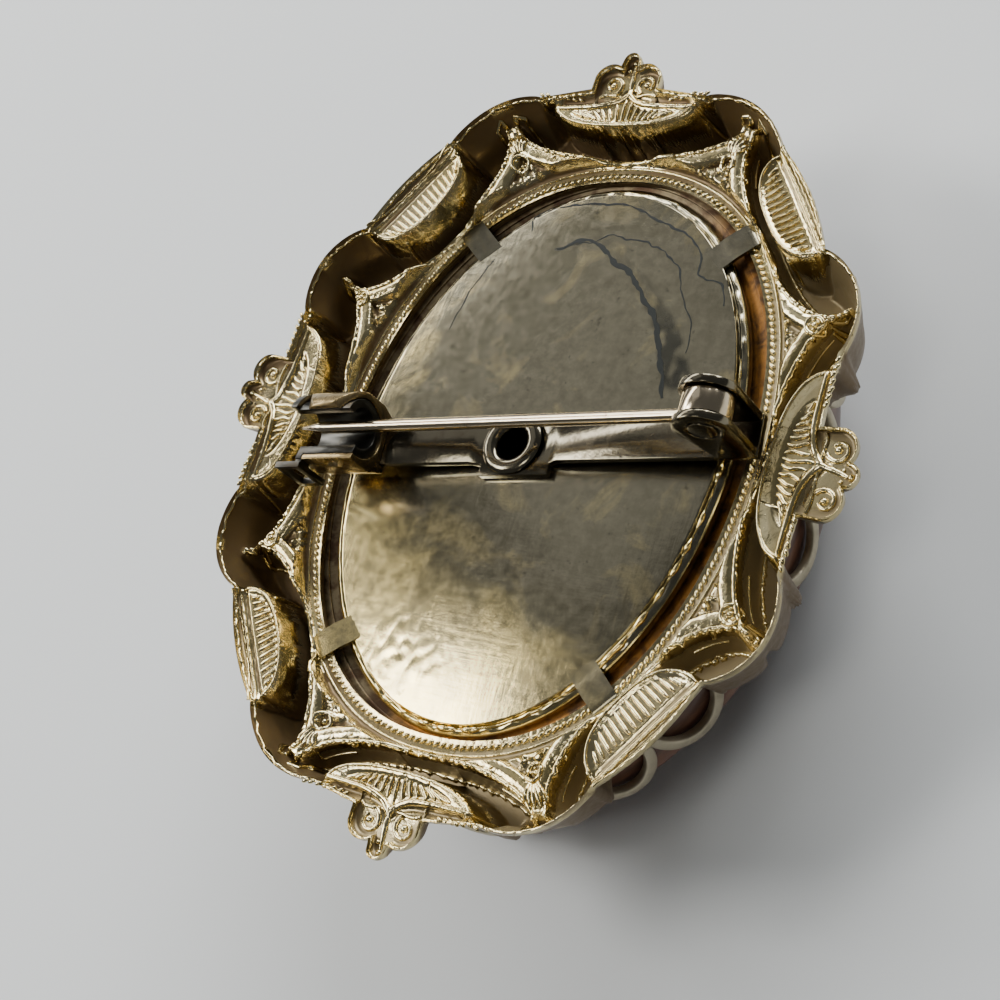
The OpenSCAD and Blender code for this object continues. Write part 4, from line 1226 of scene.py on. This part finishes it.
class CameoLook(bpy.types.PropertyGroup):
    stone_dark: colour_value("Dark stone", "Darker bands of the stone", (0.075, 0.03, 0.016))
    stone_light: colour_value("Light stone", "Lighter bands of the stone", (0.2, 0.085, 0.045))
    stone_vein: colour_value("Vein", "Veins in the stone", (0.28, 0.15, 0.09))
    carving_pale: colour_value("Pale carving", "Colour of the carved layer", (0.88, 0.8, 0.68))
    carving_warm: colour_value("Warm carving", "Warmer patches of the carved layer", (0.86, 0.68, 0.52))


def dome_face(x, y):
    """Height of the stone's polished face"""
    return DOME_Z - np.sqrt(DOME_R ** 2 - x * x - y * y)


# Roses: place on the stone, radius and first turn of the petals
ROSES = ((0.0, 6.44, 3.6, 20), (-4.64, -3.6, 3.6, 75), (4.64, -3.6, 3.6, 130))
# Rows of petals: count, distance and size as shares of the rose, height at the middle and at the lip
PETAL_ROWS = ((6, 0.6, 0.47, 0.18, 0.46), (5, 0.44, 0.4, 0.38, 0.66),
    (5, 0.27, 0.31, 0.56, 0.84), (3, 0.11, 0.2, 0.76, 1.0))
# Leaves: place as shares of the stone's half sizes, direction, length share, as in the solids
LEAVES = (
    (0.02, 0.78, 90, 0.34), (0.34, 0.66, 55, 0.36), (-0.31, 0.68, 122, 0.36),
    (0.6, 0.36, 25, 0.34), (-0.6, 0.36, 155, 0.34), (0.74, -0.02, -8, 0.3),
    (-0.74, -0.02, 188, 0.3), (0.55, -0.52, -48, 0.36), (-0.55, -0.52, 228, 0.36),
    (0.24, -0.68, -74, 0.36), (-0.24, -0.68, 254, 0.36), (0, -0.34, -90, 0.3))
# Buds: place as shares of the stone's half sizes, and radius as a share of its half width
BUDS = ((0.5, 0.74, 0.075), (-0.5, 0.72, 0.075), (0, -0.84, 0.08), (0.8, 0.2, 0.06), (-0.8, 0.2, 0.06))
LEAF_H = 0.7
LEAF_SLIM = 0.38
STONE_COUNT = 360
CARVING_STEP = 0.125
CARVING_LEAST = 0.1
CARVING_SUNK = 0.06


def rose_rise(x, y, cx, cy, radius, first):
    """Overlapping rows of cupped petals, whose lips stand up and whose inner rows stand higher"""
    rise = np.where(np.hypot(x - cx, y - cy) < radius * 0.85, 0.16, 0.0)
    for row, (count, far, size, low, high) in enumerate(PETAL_ROWS):
        for k in range(count):
            turn = math.radians(first + row * 37) + k * math.tau / count
            px, py = cx + math.cos(turn) * far * radius, cy + math.sin(turn) * far * radius
            p = ((x - px) * math.cos(turn) + (y - py) * math.sin(turn)) / (size * radius)
            q = ((y - py) * math.cos(turn) - (x - px) * math.sin(turn)) / (size * radius * 1.16)
            edge = np.hypot(p, q * (1 + 0.12 * np.cos(3 * q)))
            cup = low + (high - low) * ramp(p, -1.0, 0.75) + 0.1 * bell(edge - 0.84, 0.13) + 0.008 * (k % 3)
            cup -= 0.03 * np.abs(np.sin(4.5 * q + k)) * ramp(p, -0.6, 0.6)
            rise = np.maximum(rise, np.where(edge < 1.0, cup * ramp(edge, 1.0, 0.9), 0))
    return np.minimum(rise, 1.0) * RELIEF_H


def leaf_rise(x, y, cx, cy, turn, length):
    """A toothed leaf with a midrib and side veins, hollowed beside the midrib"""
    a = math.radians(turn)
    p = ((x - cx) * math.cos(a) + (y - cy) * math.sin(a)) / (length / 2)
    q = ((y - cy) * math.cos(a) - (x - cx) * math.sin(a)) / (length * LEAF_SLIM / 2)
    half = np.clip(1 - p * p, 0, 1) ** 0.75 * (1 + 0.07 * np.abs(np.sin(p * 9)))
    inside = ramp(np.abs(q) - half, 0.0, -0.12)
    vein = np.abs(np.sin((p * 1.0 - np.abs(q) * 0.42) * 10.0))
    cupped = 0.5 + 0.34 * np.abs(q) / np.maximum(half, 0.05)
    body = cupped - 0.12 * ramp(vein, 0.35, 0.0) + 0.12 * bell(q, 0.13)
    return np.where(np.abs(p) < 1, inside * body, 0) * LEAF_H


def carving_rise(x, y):
    """Height of the spray over the stone's face: stalks, leaves, buds and roses"""
    rise = np.zeros_like(x)
    for place in LEAVES + BUDS:
        sx, sy = place[0] * STONE_A, place[1] * STONE_B
        far = math.hypot(sx, sy)
        p, q = (x * sx + y * sy) / far, (y * sx - x * sy) / far
        q = q + 0.25 * np.sin(p * 0.8)
        rise = np.maximum(rise, 0.5 * LEAF_H * ramp(np.abs(q), 0.3, 0.12) * ((p > 0) & (p < far - 0.4)))
    for lx, ly, turn, share in LEAVES:
        rise = np.maximum(rise, leaf_rise(x, y, lx * STONE_A, ly * STONE_B, turn, share * STONE_A))
    for bx, by, share in BUDS:
        r = share * STONE_A
        far = np.hypot(x - bx * STONE_A, (y - by * STONE_B))
        turn = np.arctan2(y - by * STONE_B, x - bx * STONE_A)
        ball = np.sqrt(np.clip(1 - (far / r) ** 2, 0, 1))
        rise = np.maximum(rise, LEAF_H * ball * (0.9 + 0.1 * np.cos(5 * turn)))
    for rose in ROSES:
        rise = np.maximum(rise, rose_rise(x, y, *rose))
    return rise


class BROOCH_OT_cameo(bpy.types.Operator):
    """Domed oval stone and the carved spray of roses on its face"""
    bl_idname = "brooch.cameo"
    bl_label = "Cameo"

    def execute(self, context):
        look = context.scene.brooch_cameo
        finish_piece(self.stone(), "brooch", "stone", stone_finish(look), "cameo_stone")
        finish_piece(self.carving(), "brooch", "relief", relief_finish(look), "cameo_relief")
        return {"FINISHED"}

    def stone(self):
        """Flat back, straight side, a small bevel and a polished dome"""
        turn = full_turn(STONE_COUNT)
        edge_z = dome_face(STONE_A * np.cos(turn), STONE_B * np.sin(turn))
        rows = [(share, STONE_BACK_Z) for share in (0.02, 0.25, 0.5, 0.75, 0.97)]
        rows += [(share, mix(edge_z, STONE_BACK_Z, rise)) for share, rise in (
            (0.99, 1.0), (1.0, 0.94), (1.0, 0.6), (1.0, 0.2), (1.0, 0.09), (0.996, 0.03))]
        rows += [(share, dome_face(STONE_A * share * np.cos(turn), STONE_B * share * np.sin(turn)))
            for share in np.linspace(0.985, 0.02, 28)]
        points = oval_rows([(STONE_A * share, STONE_B * share, z) for share, z in rows], STONE_COUNT)
        return smooth_out(new_object("domed_stone", points, capped_faces(len(rows), STONE_COUNT)), 40)

    def carving(self):
        """A closed skin over every raised cell of a fine grid, with a side wall down to the stone"""
        lines = [np.arange(-half, half + CARVING_STEP, CARVING_STEP) for half in (STONE_A, STONE_B)]
        x, y = np.meshgrid(*lines, indexing="ij")
        rise = carving_rise(x, y) * ramp(np.hypot(x / STONE_A, y / STONE_B), 0.985, 0.965)
        high = rise > CARVING_LEAST
        cell = high[:-1, :-1] & high[1:, :-1] & high[:-1, 1:] & high[1:, 1:]
        used = np.zeros_like(high)
        for di in (0, 1):
            for dj in (0, 1):
                used[di:di + cell.shape[0], dj:dj + cell.shape[1]] |= cell
        number = -np.ones(high.shape, int)
        number[used] = np.arange(used.sum())
        face = dome_face(x[used], y[used])
        top = np.stack([x[used], y[used], face - rise[used]], -1)
        low = np.stack([x[used], y[used], face + CARVING_SUNK], -1)
        count = len(top)
        i, j = np.nonzero(cell)
        quad = np.stack([number[i, j], number[i + 1, j], number[i + 1, j + 1], number[i, j + 1]], -1)
        faces = [q.tolist() for q in quad] + [q[::-1].tolist() for q in quad + count]
        padded = np.pad(cell, 1)
        for di, dj, a, b in ((-1, 0, (0, 1), (0, 0)), (1, 0, (1, 0), (1, 1)),
                (0, -1, (0, 0), (1, 0)), (0, 1, (1, 1), (0, 1))):
            open_side = cell & ~padded[1 + di:1 + di + cell.shape[0], 1 + dj:1 + dj + cell.shape[1]]
            i, j = np.nonzero(open_side)
            first, second = number[i + a[0], j + a[1]], number[i + b[0], j + b[1]]
            faces += np.stack([first, second, second + count, first + count], -1).tolist()
        marks = {"rise": np.concatenate([np.clip(rise[used] / LEAF_H, 0, 1), np.zeros(count)])}
        return smooth_out(new_object("carved_spray", np.concatenate([top, low]), faces, marks), 65)


# Pin

# Turned section of the eyelet: radius and height
EYELET_SECTION = ((0.93, 9.76), (1.23, 9.76), (1.55, 9.80), (1.57, 9.96), (1.27, 9.99), (1.23, 10.4),
    (1.25, 10.95), (1.55, 10.97), (1.80, 11.0), (1.84, 11.1), (1.76, 11.2), (1.55, 11.27), (1.3, 11.29),
    (1.1, 11.24), (0.98, 11.12), (0.93, 10.95), (0.93, 10.4))
EYELET_COUNT = 96


class PinLook(bpy.types.PropertyGroup):
    bar: colour_value("Bar", "Colour of the bar and the ears", (0.17, 0.15, 0.105))
    stem: colour_value("Stem", "Colour of the polished wire", (0.6, 0.5, 0.35))
    catch: colour_value("Catch", "Colour of the catch", (0.34, 0.25, 0.12))
    lock: colour_value("Lock", "Colour of the turning lock", (0.07, 0.068, 0.06))
    pin_stain: colour_value("Stain", "Colour of the tarnish on the pin", (0.06, 0.045, 0.025))


class BROOCH_OT_pin(bpy.types.Operator):
    """Bar with its hinge, eyelet, stem, catch and turning lock"""
    bl_idname = "brooch.pin"
    bl_label = "Pin"

    def execute(self, context):
        look = context.scene.brooch_pin
        bar = metal_finish("pin_bar_metal", look.bar, look.pin_stain, 0.16)
        stem = metal_finish("stem_metal", look.stem, look.pin_stain, 0.15, 1.2, (0.58, 0.9), 0.006)
        catch = metal_finish("catch_metal", look.catch, look.pin_stain, 0.27, 1.4, (0.45, 0.8))
        lock = metal_finish("lock_metal", look.lock, look.pin_stain, 0.3)
        finish_piece(softened("pin_bar", "joggled_bar", 0.09), "brooch", "pin_metal", bar, "pin_bar")
        finish_piece(softened("hinge_pin", "axle", 0.04), "brooch", "pin_metal", bar, "hinge_pin")
        finish_piece(self.eyelet(), "brooch", "pin_metal", bar, "eyelet")
        finish_piece(softened("catch", "catch_barrel", 0.07), "brooch", "catch_metal", catch, "catch")
        finish_piece(softened("catch_lock", "lock_tube", 0.06), "lock", "lock_metal", lock, "catch_lock")
        finish_piece(softened("pin_stem", "stem_wire", 0.08), "stem", "stem_metal", stem, "pin_stem")
        return {"FINISHED"}

    def eyelet(self):
        """Rivet rolled over at the top, as a turned section"""
        points = oval_rows([(r, r, z) for r, z in EYELET_SECTION], EYELET_COUNT) + (*EYELET, 0)
        faces = ring_faces(len(EYELET_SECTION), EYELET_COUNT, True)
        return smooth_out(new_object("rolled_eyelet", points, faces), 50)


# Stage

FLOOR_HALF = 500.0
# Fitted camera: its place over the brooch, the directions of its own axes, and its lens
CAMERA_PLACE = (56.97, -31.68, 86.56)
CAMERA_RIGHT = (0.81010, 0.31460, -0.49474)
CAMERA_DOWN = (0.10166, -0.90643, -0.40994)
CAMERA_AHEAD = (-0.57741, 0.28180, -0.76628)
CAMERA_LENS = 65.7
SKY_COLOUR = (0.8, 0.83, 0.86, 1)
# Lamps, all at one distance: name, direction from the brooch, width, height, power, colour
LAMP_FAR = 0.6
LAMPS = (
    ("low_window", (-0.787, 0.418, 0.454), 0.46, 0.11, 1.6, (1.0, 0.99, 0.97)),
    ("far_window", (-0.13, 0.86, 0.49), 0.36, 0.15, 3.2, (0.97, 0.985, 1.0)),
    ("left_window", (-0.63, -0.14, 0.76), 0.18, 0.17, 1.6, (1.0, 0.99, 0.97)),
    ("near_window", (-0.84, 0.0, 0.54), 0.2, 0.1, 0.8, (1.0, 0.99, 0.97)),
    ("side_window", (0.25, 0.86, 0.42), 0.2, 0.12, 1.1, (0.97, 0.985, 1.0)),
    ("wall_glow", (-0.47, 0.39, 0.79), 0.24, 0.28, 0.085, (0.98, 0.99, 1.0)),
    ("top_window", (0.12, -0.3, 0.95), 0.14, 0.14, 0.5, (1.0, 0.98, 0.94)),
)


class StageLook(bpy.types.PropertyGroup):
    floor: colour_value("Floor", "Colour of the pale floor", (0.74, 0.76, 0.757))
    sky: bpy.props.FloatProperty(name="Sky",
        description="Strength of the light from all round", default=0.13)


class BROOCH_OT_stage(bpy.types.Operator):
    """Pale floor, soft lamps and the camera"""
    bl_idname = "brooch.stage"
    bl_label = "Stage"

    def execute(self, context):
        look = context.scene.brooch_stage
        corners = [(x * FLOOR_HALF, y * FLOOR_HALF, 0) for x, y in ((-1, -1), (1, -1), (1, 1), (-1, 1))]
        floor = new_object("pale_floor", corners, [(0, 1, 2, 3)])
        paper = Finish("floor_paper")
        paper.set(Base_Color=(*look.floor, 1), Roughness=0.7)
        paper.set(Normal=paper.bump(paper.noise(1.5, 3.0, 0.6), 0.02, 0.3))
        floor.data.materials.append(paper.material)
        for name, way, width, height, power, colour in LAMPS:
            light = bpy.data.lights.new(name, "AREA")
            light.shape, light.size, light.size_y = "RECTANGLE", width, height
            light.energy, light.color = power, colour
            lamp = bpy.data.objects.new(name, light)
            lamp.location = Vector(way).normalized() * LAMP_FAR
            lamp.rotation_euler = Vector(way).to_track_quat("Z", "Y").to_euler()
            context.scene.collection.objects.link(lamp)
        self.sky(look)
        self.camera(context)
        return {"FINISHED"}

    def sky(self, look):
        """Even grey light from all round"""
        world = bpy.data.worlds.new("soft_room")
        world.use_nodes = True
        bpy.context.scene.world = world
        light = world.node_tree.nodes["Background"].inputs
        light["Color"].default_value = SKY_COLOUR
        light["Strength"].default_value = look.sky

    def camera(self, context):
        """The photograph's camera, from a perspective fit"""
        data = bpy.data.cameras.new("photo_camera")
        data.lens, data.sensor_width, data.clip_start = CAMERA_LENS, 36, 0.002
        camera = bpy.data.objects.new("photo_camera", data)
        axes = [Vector(CAMERA_RIGHT), -Vector(CAMERA_DOWN), -Vector(CAMERA_AHEAD)]
        place = Matrix.Translation(Vector(CAMERA_PLACE) * MM)
        camera.matrix_world = place @ Matrix(axes).transposed().to_4x4()
        context.scene.collection.objects.link(camera)
        context.scene.camera = camera


class BROOCH_PT_panel(bpy.types.Panel):
    bl_label = "Cameo brooch"
    bl_space_type = "VIEW_3D"
    bl_region_type = "UI"
    bl_category = "Brooch"

    def draw(self, context):
        for place, _, operator in GROUPS:
            box = self.layout.box()
            box.operator(operator.bl_idname)
            values = getattr(context.scene, place)
            for name in values.__annotations__:
                box.prop(values, name)


# Scene property, its group of values, and the operator that uses them
GROUPS = (
    ("brooch_frame", FrameLook, BROOCH_OT_frame),
    ("brooch_plate", PlateLook, BROOCH_OT_plate),
    ("brooch_setting", SettingLook, BROOCH_OT_setting),
    ("brooch_cameo", CameoLook, BROOCH_OT_cameo),
    ("brooch_pin", PinLook, BROOCH_OT_pin),
    ("brooch_stage", StageLook, BROOCH_OT_stage))
CLASSES = [group[1] for group in GROUPS] + [group[2] for group in GROUPS] + [BROOCH_PT_panel]


def register():
    for cls in CLASSES:
        bpy.utils.register_class(cls)
    for place, look, _ in GROUPS:
        setattr(bpy.types.Scene, place, bpy.props.PointerProperty(type=look))


def unregister():
    for place, _, _ in GROUPS:
        delattr(bpy.types.Scene, place)
    for cls in reversed(CLASSES):
        bpy.utils.unregister_class(cls)


def main():
    register()
    bpy.ops.brooch.frame()
    bpy.ops.brooch.plate()
    bpy.ops.brooch.setting()
    bpy.ops.brooch.cameo()
    bpy.ops.brooch.pin()
    bpy.ops.brooch.stage()


if __name__ == "__main__":
    main()
